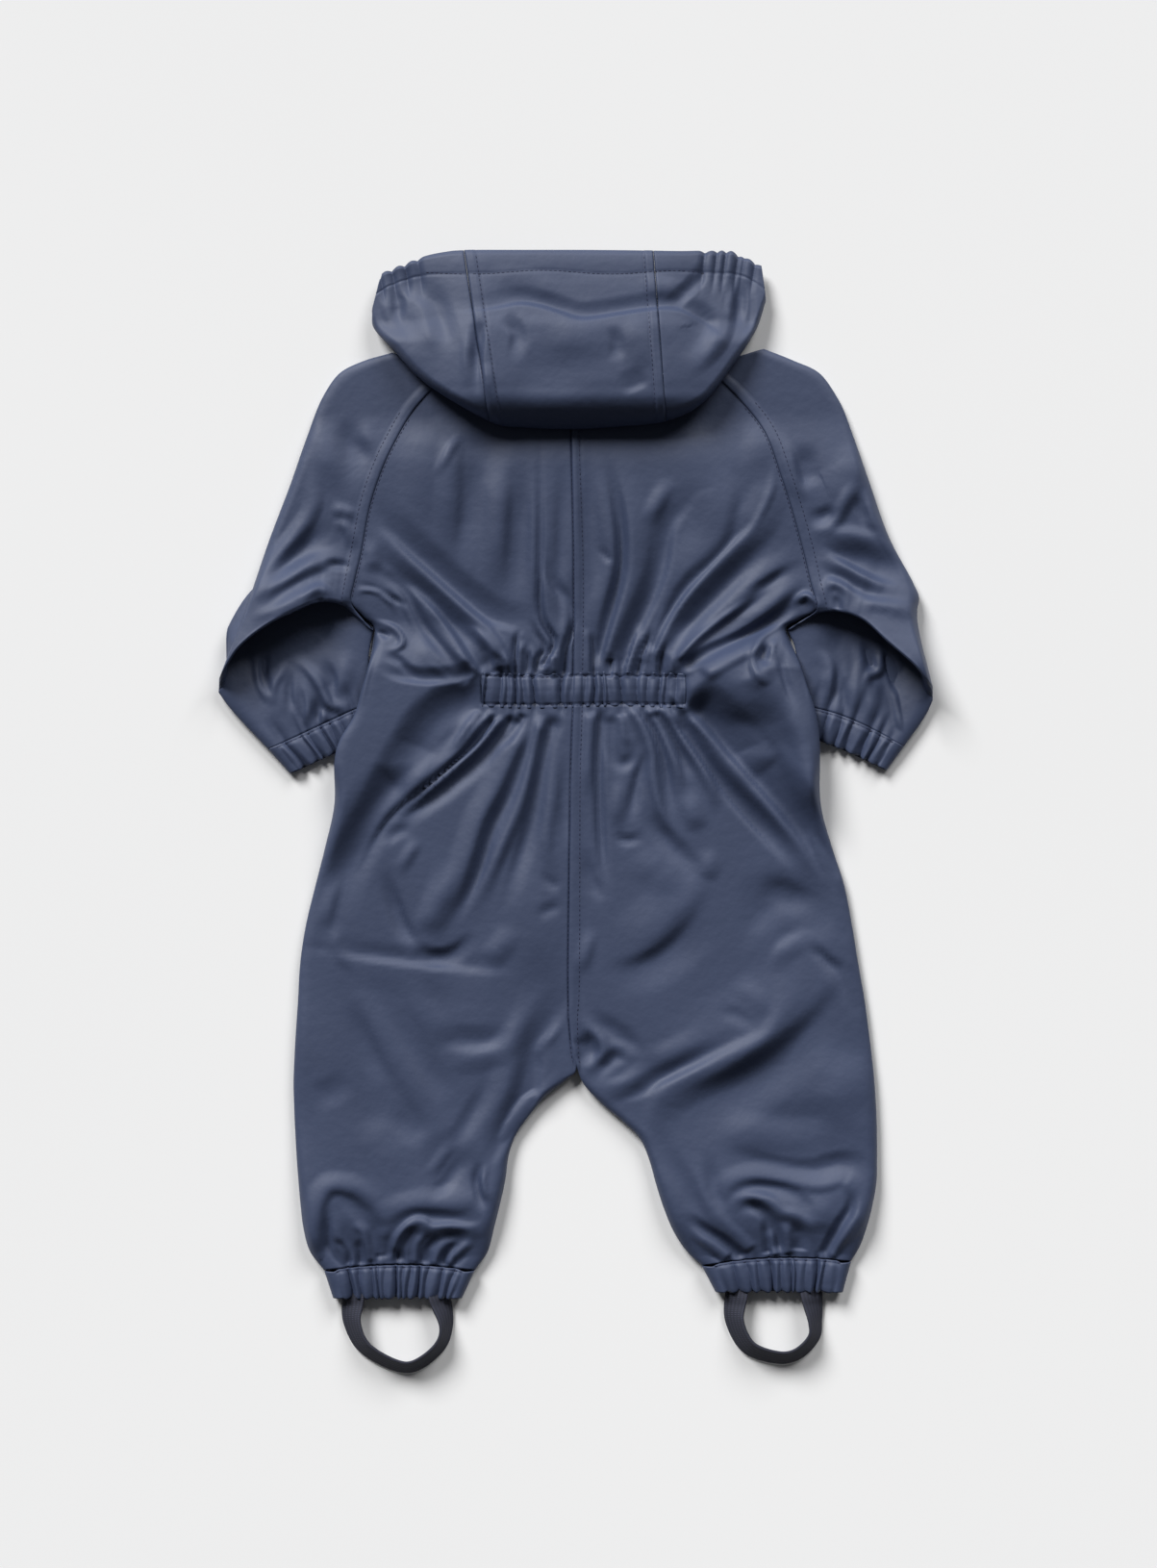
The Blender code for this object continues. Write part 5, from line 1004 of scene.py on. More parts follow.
def sleeve_edges(side, layer, v):
    """Inner and outer edge of a sleeve at row v: the raglan and the shoulder, then the forearm's edges."""
    arm, forearm = ARM_EDGE[side], FOREARM[side]
    keys = [row.part for row in forearm]
    down_forearm = share(UNDERARM, CUFF_ROW, v)
    inner_forearm = through(keys, column(forearm, "inner_x", "inner_y"), down_forearm)
    outer_forearm = through(keys, column(forearm, "outer_x", "outer_y"), down_forearm)
    walk = share(RAGLAN_END, UNDERARM, v)[..., None]
    raglan = body_edge(side, layer, np.minimum(v, UNDERARM))
    clear = np.array(UNDERARM_CLEAR) * (side, 1) * np.sin(math.pi * walk)
    inner_arm = raglan + (inner_forearm - raglan) * walk ** 3 + clear
    inner = np.where((v < UNDERARM)[..., None], inner_arm, inner_forearm)
    shoulder = through([row.row for row in arm], column(arm, "x", "y"), np.minimum(v, RAGLAN_END))
    return inner, shoulder + (outer_forearm - shoulder) * walk


def bend(side, layer, row, line, part):
    """How far a line across the sleeve stands from the straight row between its edges at that row."""
    near, far = sleeve_edges(side, layer, np.full_like(part, row))
    return line - near - (far - near) * part[..., None]


def sleeve_under(side):
    """The outer face of the sleeve's under piece, flat on the floor from the front raglan to the cuff."""
    rows = SLEEVE[side]

    def face(u, v):
        inner, outer = sleeve_edges(side, "front", v)
        width = np.linalg.norm(outer - inner, axis=-1)
        distance, drop_in, drop_out = across(u, width, CORNER_ROLL, CORNER_ROLL)
        part = distance / width
        cuff_line = through([row.part for row in rows], column(rows, "cuff_x", "cuff_y"), part)
        down_forearm = share(UNDERARM, CUFF_ROW, v)[..., None]
        plan = inner + (outer - inner) * part[..., None]
        x, y = np.moveaxis(plan + bend(side, "front", CUFF_ROW, cuff_line, part) * down_forearm, -1, 0)
        drop = share(RAGLAN_END, UNDERARM, v) * drop_in + drop_out
        return np.stack([x, y, drop * (RIM - SEAM / 2)], axis=-1)

    return face


def sleeve_upper(side):
    """The outer face of the sleeve's upper piece: the upper arm, the turned fold over the forearm, the
    cloth that goes back under it, and the forearm to the cuff."""
    rows = SLEEVE[side]
    keys = [row.part for row in rows]

    def face(u, v):
        inner, outer = sleeve_edges(side, "back", v)
        width = np.linalg.norm(outer - inner, axis=-1)
        distance, drop_in, drop_out = across(u, width, CORNER_ROLL, CORNER_ROLL)
        part = distance / width
        straight = inner + (outer - inner) * part[..., None]

        # The rows bend into the line of the fold, and the forearm's into the line of the cuff.
        fold_line = through(keys, column(rows, "fold_x", "fold_y"), part)
        cuff_line = through(keys, column(rows, "cuff_x", "cuff_y"), part)
        down_arm = share(0, RAGLAN_END, v)[..., None] ** 3
        down_forearm = share(UNDERARM, CUFF_ROW, v)[..., None]
        base = straight + bend(side, "back", RAGLAN_END, fold_line, part) * down_arm * (1 - down_forearm)
        base += bend(side, "back", CUFF_ROW, cuff_line, part) * down_forearm

        # The cloth turns over the fold's edge, goes back under the arm, turns again and comes out.
        edge_turn = math.pi * share(RAGLAN_END, TURNED, v)
        going_back = share(TURNED, HOLLOW, v)
        hollow_turn = math.pi * share(HOLLOW, UNDERARM, v)
        near_body = (1 - share(0, NEAR_BODY, part)) ** 2
        tucked = ((1 - near_body) * ease(*NEAR_EDGE, part))[..., None]
        depth = through(keys, [row.depth for row in rows], part)
        turned_back = FOLD_RADIUS * (1 - np.sin(edge_turn)) * down_arm[..., 0] ** 2
        turned_back += (depth - FOLD_RADIUS) * going_back + HOLLOW_RADIUS * np.sin(hollow_turn)
        heading = unit(cuff_line - fold_line)
        held = fold_line - straight - bend(side, "back", RAGLAN_END, fold_line, part)
        near, far = sleeve_edges(side, "back", np.full_like(v, UNDERARM))
        held_at_start = fold_line - near - (far - near) * part[..., None]
        held_at_start -= bend(side, "back", RAGLAN_END, fold_line, part)
        held = np.where((v > UNDERARM)[..., None], held_at_start, held)
        held = np.where((v < RAGLAN_END)[..., None], 0, held)
        plan = base + tucked * (held - heading * turned_back[..., None]) * (1 - down_forearm)
        x, y = np.moveaxis(plan, -1, 0)

        on_arm = ease(*STRIP_END, v)
        felled = STRIP_RISE * ease(RAGLAN_STRIP + STRIP_FOOT, RAGLAN_STRIP - STRIP_EDGE, distance)
        stitched = groove(distance - RAGLAN_STRIP - OFF_STRIP, STITCH_WIDTH) + groove(distance, FOLD_WIDTH)
        felled -= GROOVE * stitched
        arm_top = top_face(x, y) + felled * on_arm
        fold_top = top_face(*np.moveaxis(fold_line, -1, 0))
        from_fold = np.linalg.norm(np.stack([x, y], axis=-1) - fold_line, axis=-1)
        hidden = HOLLOW_DIP * ease(*HOLLOW_REACH, from_fold) * ease(0.02, 0.25, part) * ease(1, 0.8, part)
        forearm_top = FOREARM_LOFT - hidden + relief(FOREARM_FOLDS, x, y) * down_forearm[..., 0] ** 0.5
        hollow_top = FOREARM_LOFT + 2 * HOLLOW_RADIUS
        under_fold = fold_top - FOLD_RADIUS * (1 - np.cos(edge_turn))
        under_fold += (hollow_top - under_fold) * going_back
        under_fold -= HOLLOW_RADIUS * (1 - np.cos(hollow_turn))
        walk = share(RAGLAN_END, UNDERARM, v)
        slope = arm_top + (forearm_top - arm_top) * walk * ease(0, 0.06, part)
        height = np.where(v > RAGLAN_END, under_fold + (slope - under_fold) * near_body, arm_top)
        cuff_ribs = ribs(part, CUFF_GATHERS[side], 0, 1, RING_ENDS)
        forearm_top = forearm_top - CUFF_PULL * cuff_ribs * ease(CUFF_REACH, 1, down_forearm[..., 0])
        height = np.where(v >= UNDERARM, forearm_top, height)
        height = np.maximum(height, RIM * ease(0.7, 0.85, part) + RIM_HEADROOM * ease(0.8, 0.95, part))
        rim = RIM + SEAM / 2
        return np.stack([x, y, height - (walk * drop_in + drop_out) * (height - rim)], axis=-1)

    return face


SLEEVE_ACROSS = steps(0, 7, ROLL_IN_END, 56, ROLL_OUT_START, 9, 1)
SLEEVE_DOWN = steps(0, 100, RAGLAN_END, 12, TURNED, 8, HOLLOW, 12, UNDERARM, 50, CUFF_ROW)
UNDER_ACROSS = steps(0, 6, ROLL_IN_END, 20, ROLL_OUT_START, 6, 1)
UNDER_DOWN = steps(0, 44, RAGLAN_END, 16, UNDERARM, 24, CUFF_ROW)
for side, word, up in SIDES:
    lay_cloth(f"sleeve_back_{word}", sleeve_upper(side), SLEEVE_ACROSS, SLEEVE_DOWN, up)
    lay_cloth(f"sleeve_front_{word}", sleeve_under(side), UNDER_ACROSS, UNDER_DOWN, -up)

# ---- Cuffs and leg hems ----
# Each is the end of the sleeve or leg turned up into a casing round a narrow elastic. It lies flat,
# in two layers, and the elastic puckers it unevenly.

# sewn and end give the places along a ring's stitches and its open edge; it is loft high at the
# stitches and drops by fall to the edge.
Ring = namedtuple("Ring", "sewn end loft fall gathers width")
LEG_HEM_LOFT, LEG_HEM_DROP, CUFF_LOFT, CUFF_DROP = 10.5, 0.7, 7.6, 1.0
RING_ROLL = 5.0        # radius across the two sides
RING_TOP, RING_FAR, RING_UNDER = 0.7, 0.8, 0.9     # where the far side's turn begins and ends, and where
                                                   # the near side's begins
SCALLOP = 1.1          # how far each pucker draws the open edge in
AT_STITCHES = 0.06     # the part of the way to the open edge at which the thread lies
GATHERED = 2.2         # depth of the puckers against those listed
EDGE_GATHERED = 0.6    # their share of that depth at the stitches
SPREAD, SPREAD_STEPS = 0.012, (5, 9)       # the puckers crowd and spread by this part of the ring's width
LEAN, LEAN_STEPS = 0.006, (4, 40)          # and lean by this part
PUFF, SEWN_DIP, EDGE_DIP = 0.9, 1.0, 0.5   # the casing's bulge, and its dips at the stitches and the edge


def between(start, end):
    """Places on the straight line from start to end."""
    return lambda part: np.array(start) + (np.array(end) - start) * part[..., None]


def along_table(rows, *names):
    """Places on the smooth curve through two columns of a table."""
    return lambda part: through([row.part for row in rows], column(rows, *names), part)


def ring_face(ring):
    """The outer face of a flat elasticated ring: u runs round it, v from its stitches to the open edge."""

    def face(u, v):
        turn_far = math.pi * share(RING_TOP, RING_FAR, u)
        turn_near = math.pi * share(RING_UNDER, 1, u)
        out = share(0, RING_TOP, u) - share(RING_FAR, RING_UNDER, u)
        roll = RING_ROLL / np.linalg.norm(ring.end(np.array([1.0])) - ring.end(np.array([0.0])))
        part = roll + out * (1 - 2 * roll) + roll * (np.sin(turn_far) - np.sin(turn_near))
        spread = SPREAD * np.sin(SPREAD_STEPS[0] * v + SPREAD_STEPS[1] * part)
        part += spread * (u < RING_TOP) * ease(0, 0.1, out) * ease(1, 0.9, out)
        plan = ring.sewn(part) * (1 - v)[..., None] + ring.end(part) * v[..., None]
        upper = np.where(u > RING_UNDER, (1 - np.cos(turn_near)) / 2, (1 + np.cos(turn_far)) / 2)
        puff = PUFF * np.sin(math.pi * np.clip(v * 1.05, 0, 1)) - SEWN_DIP * groove(v - AT_STITCHES, 0.12)
        puff = puff - EDGE_DIP * ease(0.9, 1, v)
        bent = part - LEAN * np.sin(LEAN_STEPS[0] * v + LEAN_STEPS[1] * part)
        pulled = ribs(bent, ring.gathers, 0, 1, RING_ENDS)
        deepened = EDGE_GATHERED + (1 - EDGE_GATHERED) * ease(0, 0.25, v)
        puff = puff - GATHERED * pulled * deepened * (1 - 0.2 * v)
        on_top = ease(0, 0.06, out) * ease(1, 0.94, out) * (u <= RING_TOP)
        loft = ring.loft - ring.fall * ease(0, 1, v)
        drawn = unit(ring.sewn(part) - ring.end(part))
        plan = plan + drawn * (SCALLOP * (pulled - 0.5) * ease(0.5, 1, v) * on_top)[..., None]
        x, y = np.moveaxis(plan, -1, 0)
        return np.stack([x, y + hem_bow(x, y) * on_top, loft * upper + puff * on_top], axis=-1)

    return face


RING_ROUND = steps(0, 210, RING_TOP, 10, RING_FAR, 40, RING_UNDER, 10, 1)
RING_DOWN = steps(0, 20, 1)
for side, word, up in SIDES:
    sewn_in, sewn_out, end_in, end_out = HEM_ENDS[side]
    hem = Ring(between(sewn_in, sewn_out), between(end_in, end_out),
               LEG_HEM_LOFT, LEG_HEM_DROP, HEM_GATHERS[side], 215)
    cuff = Ring(along_table(SLEEVE[side], "cuff_x", "cuff_y"), along_table(SLEEVE[side], "end_x", "end_y"),
                CUFF_LOFT, CUFF_DROP, CUFF_GATHERS[side], 185)
    for node, ring in ((f"leg_hem_{word}", hem), (f"cuff_{word}", cuff)):
        lay_cloth(node, ring_face(ring), RING_ROUND, RING_DOWN, up,
                  closed=True)

# ---- Stirrups ----
# A loop of flat woven webbing hangs from the inside of each leg hem and goes under the shoe. Each is
# given by its middle line and, in degrees, by how far it leans from lying flat.

Loop = namedtuple("Loop", "x y lean")
STIRRUP = {
    LEFT: rows_of(Loop,
        (-146, -305, 0), (-146, -318, 16), (-146.4, -334, 42), (-138.5, -350, 52), (-120, -361, 56),
        (-106, -362, 58), (-90.5, -350, 62), (-86, -336, 60), (-90, -318, 24), (-91.5, -305, 0),
    ),
    RIGHT: rows_of(Loop,
        (105.5, -302, 0), (105, -316, 16), (104, -333, 42), (113, -350, 50), (131, -356.5, 54),
        (144, -354.5, 56), (154.5, -344, 58), (155.5, -333, 54), (153.5, -316, 20), (152.5, -302, 0),
    ),
}
WEBBING_WIDTH, WEBBING_THICK, LOOP_LENGTH = 15.0, 1.6, 165.0
LOOP_LIFT, LOOP_START = 1.7, (-324, -317)    # it rises this far onto the hem's lower cloth, along Y
LOOK = 0.001           # the part of a row to each side in which its heading is found
STIRRUP_ACROSS, STIRRUP_DOWN = steps(0, 14, 1), steps(0, 120, 9)


def stirrup(side):
    """The upper face of a stirrup's webbing: u runs across its width from the low edge, v along it."""
    rows = STIRRUP[side]
    keys, middle = range(len(rows)), column(rows, "x", "y")

    def face(u, v):
        centre = through(keys, middle, v)
        low, high = np.maximum(v - LOOK, 0), np.minimum(v + LOOK, len(rows) - 1)
        forward = unit(through(keys, middle, high) - through(keys, middle, low))
        outward = np.stack([forward[..., 1], -forward[..., 0]], axis=-1)
        lean = np.radians(through(keys, [row.lean for row in rows], v))
        plan = centre + outward * ((0.5 - u) * WEBBING_WIDTH * np.cos(lean))[..., None]
        foot = WEBBING_THICK * np.cos(lean) + LOOP_LIFT * ease(*LOOP_START, centre[..., 1])
        return np.concatenate([plan, (foot + u * WEBBING_WIDTH * np.sin(lean))[..., None]], axis=-1)

    return face


# Woven polyester webbing: matt, dark navy, with fine ribs across it and a raised edge.
RIB = 1.3              # from one rib to the next
webbing, tree, shader = new_material("woven_webbing", roughness=0.82, ior=1.5)
uv = add(tree, "UVMap", [("uv_map", "threads")]).outputs["UV"]
bars = add(tree, "TexWave", [("bands_direction", "Y")], Vector=uv, Scale=WAVE_STEP / (RIB * MM),
           Distortion=0.3).outputs["Fac"]
lanes = add(tree, "TexWave", [("bands_direction", "X")], Vector=uv,
            Scale=WAVE_STEP / (2 * RIB * MM)).outputs["Fac"]
rib_height_and_painted_shade = add(tree, "Math", [("operation", "MULTIPLY")], _0=bars, _1=lanes).outputs[0]
# The ribs' raised tops are painted lighter and the grooves between them darker: painted light and shade
# over the webbing's own dark navy.
tone = add(tree, "Mix", [("data_type", "RGBA")], _0=rib_height_and_painted_shade, _6=colour("#20222f"), _7=colour("#353849"))
tree.links.new(tone.outputs[2], shader.inputs["Base Color"])
fine = add(tree, "Bump", Strength=0.7, Distance=0.2 * MM, Height=rib_height_and_painted_shade).outputs["Normal"]
tree.links.new(fine, shader.inputs["Normal"])

for side, word, up in SIDES:
    loop = cloth_piece(f"stirrup_{word}_webbing", stirrup(side), STIRRUP_ACROSS, STIRRUP_DOWN, 1, webbing,
                       thickness=WEBBING_THICK)
    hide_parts(f"stirrup_{word}")

# ---- Hood ----
# Three pieces of the same cloth, joined by two felled seams, make a soft bag. It flops back over
# the shoulders with the face opening at the top, hemmed round an elastic that gathers its two ends.

# Columns of the hood from one end of the face opening to the other: the forehead edge, the outline
# where the cloth turns under, and the neck edge (at the two ends, the lower edge of the opening).
HoodColumn = namedtuple("HoodColumn", "edge_x edge_y back_x back_y neck_x neck_y")
HOOD = rows_of(HoodColumn,
    (-127.5, 352.5, -134, 327, -104, 330), (-115, 357.5, -132.5, 316, -99, 321),
    (-99, 362.8, -119.5, 301, -92, 309), (-85, 365.3, -97, 278, -83, 294),
    (-73.5, 366, -57, 254.5, -62, 289.7), (-40, 366, -34, 250.6, -36, 289.7),
    (0, 366, -2, 249.6, 0, 289.7), (28, 365.8, 28, 251.2, 30, 289.7), (50, 365.5, 58, 254.4, 56, 289.7),
    (68, 365.5, 82, 266, 78, 293), (86, 366.3, 102, 291, 88, 304), (103, 366.2, 117, 314, 94, 318),
    (121, 357, 124, 334, 99, 331),
)
HOOD_SEAMS = (4, 8)    # the columns of HOOD that the two long seams follow
HOOD_LOFT = [          # height of the hood's top face against the place along +Y
    (244, 15), (250, 18.5), (256, 24.5), (262, 31), (267, 34), (276, 35), (292, 34.5), (306, 33), (316, 31),
    (323, 28.5), (332, 26), (343, 24), (350, 22.5), (358, 21.5), (366, 19.5),
]
HOOD_FOLDS = rows_of(Fold,
    (-1.5, 15, 9, [(-127, 352), (-113, 346), (-97, 336), (-78, 328)]),
    (-2.5, 10.5, 3.6, [(-90, 328), (-74, 327), (-56, 328), (-38, 332), (-24, 330), (-10, 326), (4, 322),
        (26, 325), (46, 328), (65, 328), (82, 321), (96, 310), (107, 297)]),
    (2.3, 3.6, 27, [(-89, 324), (-73, 323), (-56, 325), (-38, 328), (-24, 327), (-10, 322), (4, 318),
        (26, 321), (46, 324), (65, 325), (81, 317), (95, 306), (106, 293)]),
    (-2.7, 6, 7.5, [(87, 358), (77, 344), (68, 335), (59, 326)]),
    (2.9, 7.5, 13.5, [(80, 352), (90, 341), (95, 328), (97, 316), (91, 303), (81, 292), (66, 283)]),
    (-2.7, 12, 18, [(71, 331), (82, 318), (78, 305), (67, 292)]),
    (-3, 6, 6, [(108, 352), (107, 339), (106, 326), (103, 315)]),
    (2.1, 7.5, 6, [(117, 350), (119, 333), (117, 315), (107, 305)]),
    (1.4, 4.5, 4.5, [(102, 345), (100, 328), (103, 316)]),
    (2.1, 12, 15, [(-109, 345), (-103, 327), (-96, 311), (-88, 293)]),
    (-2.2, 12, 10.5, [(-98, 342), (-90, 326), (-86, 310), (-82, 294)]),
    (-1.9, 6, 6, [(-119, 345), (-116, 331), (-119, 317)]),
    (1.4, 6, 6, [(-127, 342), (-123, 326), (-117, 313)]),
    (1.6, 13.5, 10.5, [(-127, 324), (-111, 301), (-90, 282)]),
    (-3.4, 6, 7.5, [(-60, 321), (-63, 310), (-65, 289), (-61, 266)]),
    (1.8, 6, 7.5, [(-67, 315), (-70, 295), (-68, 272)]),
    (-2.6, 9, 6, [(-49, 321), (-39, 310), (-41, 290)]),
    (1.6, 7.5, 7.5, [(-58, 292), (-58, 279), (-56, 267)]),
    (1.9, 10.5, 15, [(31, 320), (41, 303), (43, 283)]),
    (-1.6, 6, 12, [(48, 282), (38, 277), (26, 273)]),
    (-1.6, 7.5, 6, [(22, 316), (26, 303), (23, 290)]),
    (-1.9, 22.5, 22.5, [(-48, 281), (-21, 283), (14, 286)]),
    (1.3, 21, 21, [(-21, 310), (0, 305), (22, 310)]),
    (1.1, 12, 12, [(-60, 347), (-38, 345), (-6, 342)]),
    (-1.1, 10.5, 10.5, [(-63, 340), (-38, 341), (-19, 337)]),
    (1.3, 7.5, 10.5, [(39, 347), (57, 342), (68, 342)]),
)
HOOD_BED = 10.4        # height at which the hood lies on the shoulders
BED_END = (321, 304)   # along Y, where it starts to rise onto them from the floor, and lies on them
HOOD_MIDDLE, HOOD_SIDES = -4.0, (52, 130)    # its dome falls between these distances from its middle line
HOOD_FALL = 0.58       # by this share of its height
HOOD_ROLL = 6.0        # radius across the hood's outline
SHORT_ROLL = 0.35      # and at most this part of a short column
HOOD_WAIST = 0.45      # the part of the way up at which the outline is widest
HOOD_STRIP = dict(zip(HOOD_SEAMS, (7.2, -6.0)))      # width of each felled seam, along +X from its line
FACE_HEM = 15.0        # from the face opening's edge to the hem's stitches
FACE_WAVER, FACE_WAVER_STEP = 1.2, 14        # the stitches waver this far, over about six times this length
FACE_DIP, FACE_DIP_WIDTH = 0.5, 2.2          # and dip this far, over this width
FACE_DROP, FACE_ROLL = 1.4, 3                # the edge drops this far over this width
FaceGather = namedtuple("FaceGather", "x depth width")
GATHER_DEPTH, GATHER_DRAW = 1.3, 0.8         # how deep they dent the top and draw in the edge, per depth
GATHER_FADE, DRAW_FADE = (34, 12), (9, 0)    # from the edge, between which they fade
GATHER_FAN = 0.12                            # how far they fan out to the sides on their way down
FACE_GATHERS = rows_of(FaceGather,
    (-128.5, 1.6, 4), (-121, 2.2, 5), (-112.5, 2.4, 5), (-104, 1.8, 5), (84, 2, 5), (92, 1.8, 4),
    (98, 2, 4), (106, 2.8, 5), (110, 1.6, 4), (117, 1.6, 4),
)


def hood_top(x, y, bed):
    """Height of the hood's upper face over its bed: a soft dome that falls towards both sides."""
    middle = through([row[0] for row in HOOD_LOFT], [row[1] for row in HOOD_LOFT], y)
    fall = 1 - HOOD_FALL * ease(*HOOD_SIDES, np.abs(x - HOOD_MIDDLE))
    return bed + (middle - bed) * fall + relief(HOOD_FOLDS, x, y)


def hood(c, r):
    """The hood's outer face: c runs along the columns of HOOD, r from the forehead edge over the top
    (0 to 1), round the outline (1 to 2) and back underneath to the neck (2 to 3)."""
    keys = range(len(HOOD))
    edge = through(keys, column(HOOD, "edge_x", "edge_y"), c)
    back = through(keys, column(HOOD, "back_x", "back_y"), c)
    neck = through(keys, column(HOOD, "neck_x", "neck_y"), c)
    length = np.linalg.norm(back - edge, axis=-1)
    heading = (back - edge) / length[..., None]
    roll = np.minimum(HOOD_ROLL, SHORT_ROLL * length)
    turn = math.pi * np.clip(r - 1, 0, 1)
    distance = np.clip(r, 0, 1) * (length - roll) + roll * np.sin(turn)
    start_under = back - heading * roll[..., None]
    under = start_under + (neck - start_under) * np.clip(r - 2, 0, 1)[..., None]
    plan = np.where((r > 2)[..., None], under, edge + heading * distance[..., None])
    x, y = np.moveaxis(plan, -1, 0)
    bed = HOOD_BED * ease(*BED_END, y)
    top = hood_top(x, y, bed)
    for seam, width in HOOD_STRIP.items():
        on_seam = HOOD[seam].edge_x + (HOOD[seam].back_x - HOOD[seam].edge_x) * np.clip(r, 0, 1)
        beyond = (x - on_seam) * np.sign(width)
        top = top + STRIP_RISE * ease(-0.1, 0.7, beyond) * ease(abs(width) + 0.9, abs(width) - 0.1, beyond)
        stitched = groove(beyond, FOLD_WIDTH) + groove(beyond - abs(width) - OFF_STRIP, STITCH_WIDTH)
        top = top - GROOVE * stitched
    hemmed = FACE_HEM + FACE_WAVER * np.sin(x / FACE_WAVER_STEP)
    top = top - FACE_DIP * groove(distance - hemmed, FACE_DIP_WIDTH)
    top = top - FACE_DROP * ease(FACE_ROLL, 0, distance)
    for gather in FACE_GATHERS:
        pulled = groove(x - gather.x - GATHER_FAN * distance * np.sign(-x), gather.width)
        top = top - GATHER_DEPTH * gather.depth * pulled * (ease(*GATHER_FADE, distance) * (r < 1))
        y = y - GATHER_DRAW * gather.depth * pulled * ease(*DRAW_FADE, distance) * (r < 1)
    middle = bed + HOOD_WAIST * (top - bed)
    height = middle + np.where(turn < math.pi / 2, top - middle, middle - bed) * np.cos(turn)
    height = np.where(r > 2, bed, height)
    return np.stack([x, y, height], axis=-1)


HOOD_DOWN = steps(0, 96, 1, 16, 2, 16, 3)
OFF_SEAM = 0.002       # the pieces end this part of a column beside their seam
HOOD_PIECES = [
    ("hood_left", steps(0, 90, HOOD_SEAMS[0] - OFF_SEAM), 120, 150),
    ("hood_center", steps(HOOD_SEAMS[0] + OFF_SEAM, 104, HOOD_SEAMS[1] - OFF_SEAM), 150, 170),
    ("hood_right", steps(HOOD_SEAMS[1] + OFF_SEAM, 90, len(HOOD) - 1), 120, 150),
]
for node, columns, width, length in HOOD_PIECES:
    lay_cloth(node, hood, columns, HOOD_DOWN, -1)

# ---- Stitching ----
# Every seam and hem is sewn with navy polyester thread, about eight stitches to 25 mm.

PITCH, STITCH, THREAD = 3.1, 2.3, 0.6     # from stitch to stitch, a stitch's length and the thread's width
THREAD_PROUD = 0.45    # the part of the thread's width that stands over the cloth
LONGEST = 1.6          # a stitch that would be this many times as long spans a gap and is left out
LINE_STEPS = 24        # places worked out for each point of a line
EYE_HEIGHT = 100.0     # from which the cloth under a stitch is looked for
thread, tree, shader = new_material("spun_polyester_thread", roughness=0.7, ior=1.5)
spot = add(tree, "TexCoord").outputs["Object"]
twist = add(tree, "TexNoise", Vector=spot, Scale=900).outputs["Fac"]
tone = add(tree, "Mix", [("data_type", "RGBA")], _0=twist, _6=colour("#191d38"), _7=colour("#262b4c"))
tree.links.new(tone.outputs[2], shader.inputs["Base Color"])


def seam_stitches(name, pieces, lines):
    """Stitches along each line, laid on the highest of the pieces under it, as one mesh."""
    ground = []
    for piece in pieces:
        ground.append(BVHTree.FromPolygons([v.co for v in piece.data.vertices],
                                           [p.vertices for p in piece.data.polygons]))

    def on_cloth(place):
        above = Vector((place[0] * MM, place[1] * MM, EYE_HEIGHT * MM))
        hits = [surface.ray_cast(above, Vector((0, 0, -1))) for surface in ground]
        hits = [hit for hit in hits if hit[0] is not None]
        return max(hits, key=lambda hit: hit[0].z)[:2] if hits else None

    points, faces = [], []
    for line in lines:
        path = through(range(len(line)), line, np.linspace(0, len(line) - 1, LINE_STEPS * len(line)))
        walked = np.concatenate([[0], np.cumsum(np.linalg.norm(np.diff(path, axis=0), axis=1))])
        for start in np.arange(PITCH / 2, walked[-1] - STITCH, PITCH):
            ends = [on_cloth([np.interp(at, walked, path[:, k]) for k in (0, 1)])
                    for at in (start, start + STITCH)]
            if None in ends:
                continue
            (a, up), (b, _) = ends
            along = b - a
            if along.length > LONGEST * STITCH * MM:
                continue
            beside = along.cross(up).normalized() * (THREAD * MM / 2)
            rise = up * (THREAD * MM * THREAD_PROUD)
            first = len(points)
            points += [a, b]
            for part in (0.25, 0.75):
                middle = a + along * part
                points += [middle + beside, middle + rise, middle - beside, middle - rise]
            for k in range(4):
                near, far = first + 2 + k, first + 6 + k
                next_near, next_far = first + 2 + (k + 1) % 4, first + 6 + (k + 1) % 4
                faces += [(first, near, next_near), (near, far, next_far, next_near),
                          (far, first + 1, next_far)]
    mesh = bpy.data.meshes.new(name)
    mesh.from_pydata([tuple(point) for point in points], [], faces)
    mesh.materials.append(thread)
    mesh.shade_smooth()
    made = bpy.data.objects.new(name, mesh)
    bpy.context.scene.collection.objects.link(made)
    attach(made, "root")
    return made


def cloth(*nodes):
    return [bpy.data.objects[f"{node}_cloth"] for node in nodes]


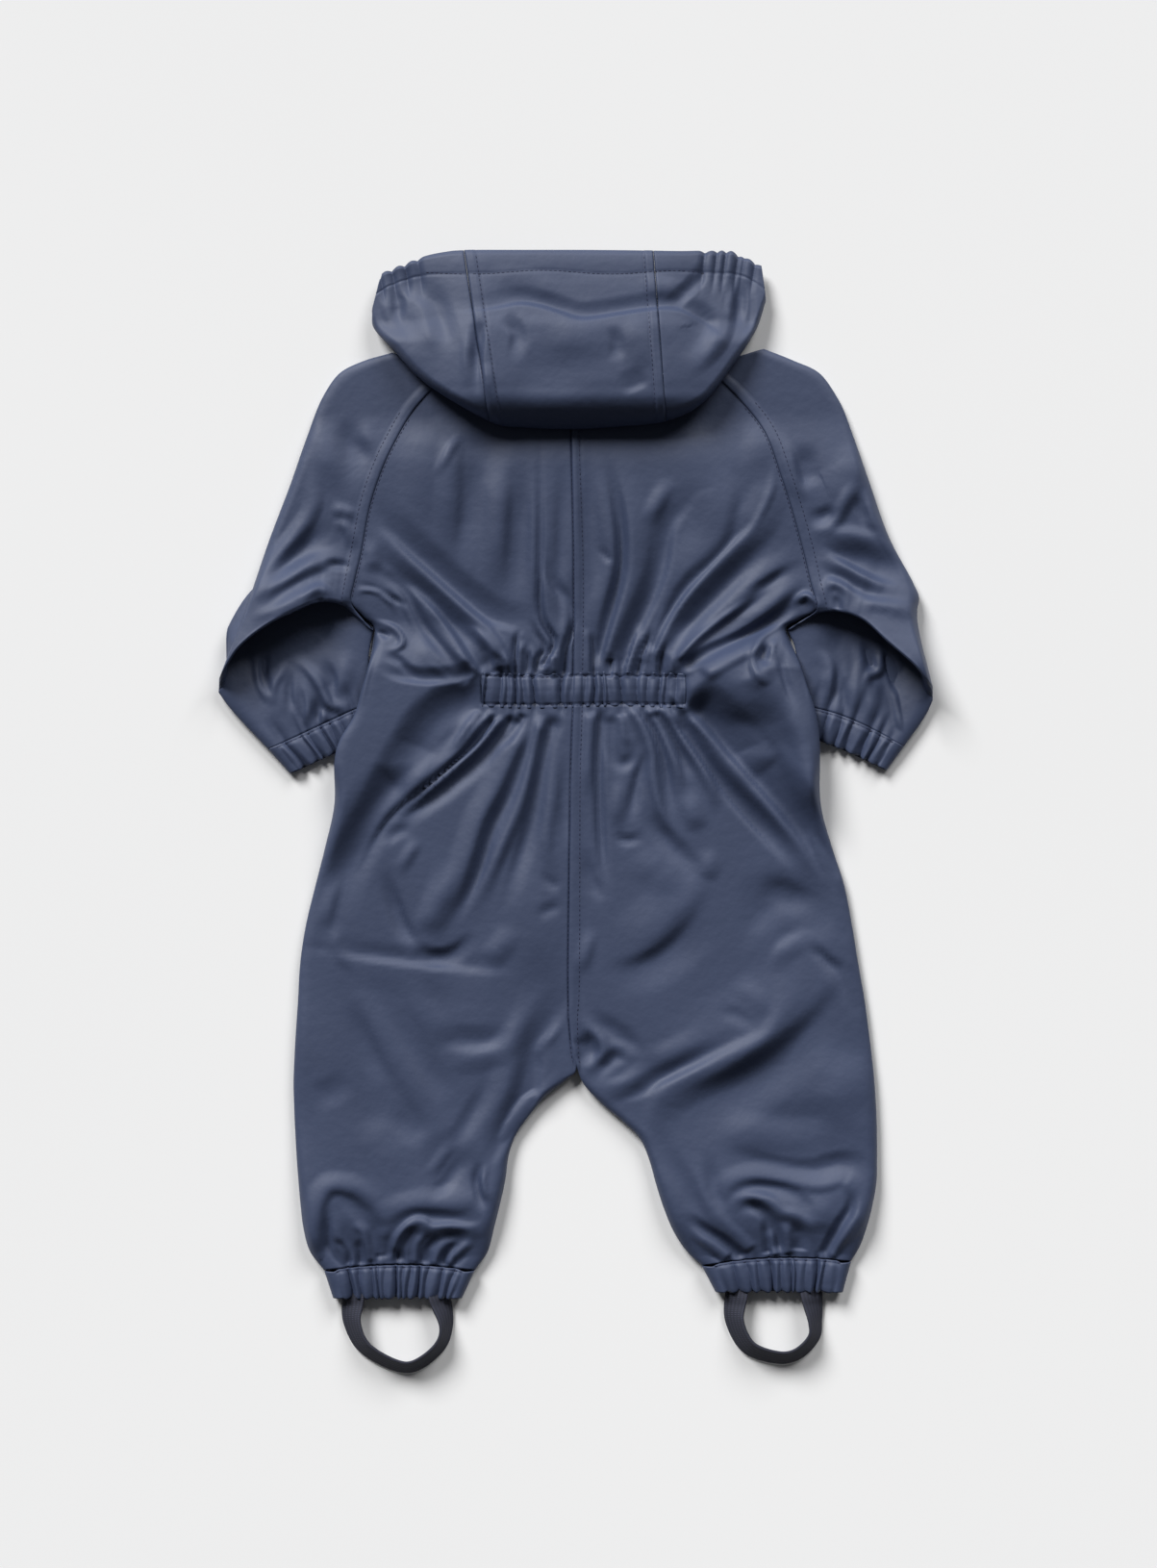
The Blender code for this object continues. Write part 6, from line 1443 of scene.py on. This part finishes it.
seam_stitches("centre_back_stitches", cloth("back_left", "back_right"), [
    [(row.left - 0.2, row.y) for row in CENTRE_SEAM],
    [(row.right + OFF_STRIP, row.y) for row in CENTRE_SEAM]])
casing_xs = np.linspace(BAND.x - BAND.width / 2 + END_LENGTH, BAND.x + BAND.width / 2 - END_LENGTH, 30)
casing_line = [BAND.y + WAVER * math.sin(x / WAVER_STEP) for x in casing_xs]
seam_stitches("waist_casing_stitches", cloth("waist_casing"), [
    [(x, y + half * (BAND.height / 2 - STITCH_IN)) for x, y in zip(casing_xs, casing_line)]
    for half in (1, -1)])
raglan_rows = np.linspace(1.2, RAGLAN_END - 0.1, 24)     # from under the hood to the underarm
for side, word, up in SIDES:
    raglan = [body_edge(side, "back", v) for v in raglan_rows]
    outer = [sleeve_edges(side, "back", v)[1] for v in raglan_rows]
    lines = [[edge + unit(far - edge) * off for edge, far in zip(raglan, outer)]
             for off in (-0.9, RAGLAN_STRIP + OFF_STRIP)]
    seam_stitches(f"raglan_stitches_{word}", cloth(f"back_{word}", f"sleeve_back_{word}"), lines)
    parts = np.linspace(0.06, 0.94, 40)
    sewn_in, sewn_out, end_in, _ = (np.array(end) for end in HEM_ENDS[side])
    hem = sewn_in * (1 - AT_STITCHES) + end_in * AT_STITCHES + (sewn_out - sewn_in) * parts[:, None]
    hem[:, 1] += hem_bow(hem[:, 0], hem[:, 1])
    cuff_sewn = along_table(SLEEVE[side], "cuff_x", "cuff_y")(parts)
    cuff_end = along_table(SLEEVE[side], "end_x", "end_y")(parts)
    cuff = cuff_sewn * (1 - AT_STITCHES) + cuff_end * AT_STITCHES
    seam_stitches(f"leg_hem_stitches_{word}", cloth(f"leg_hem_{word}"), [hem])
    seam_stitches(f"cuff_stitches_{word}", cloth(f"cuff_{word}"), [cuff])
hood_pieces = cloth("hood_left", "hood_center", "hood_right")
hem_y = HOOD[HOOD_SEAMS[0]].edge_y - FACE_HEM
seam_stitches("hood_hem_stitches", hood_pieces, [
    [(x, hem_y - FACE_WAVER * math.sin(x / FACE_WAVER_STEP)) for x in np.linspace(-100, 84, 60)]])
seams = []
for seam, width in HOOD_STRIP.items():
    edge, back = np.array(HOOD[seam][:2]), np.array(HOOD[seam][2:4])
    for off in (0, width + math.copysign(OFF_STRIP, width)):
        seams.append([edge + (back - edge) * part + (off, 0) for part in np.linspace(0.02, 0.93, 30)])
seam_stitches("hood_seam_stitches", hood_pieces, seams)
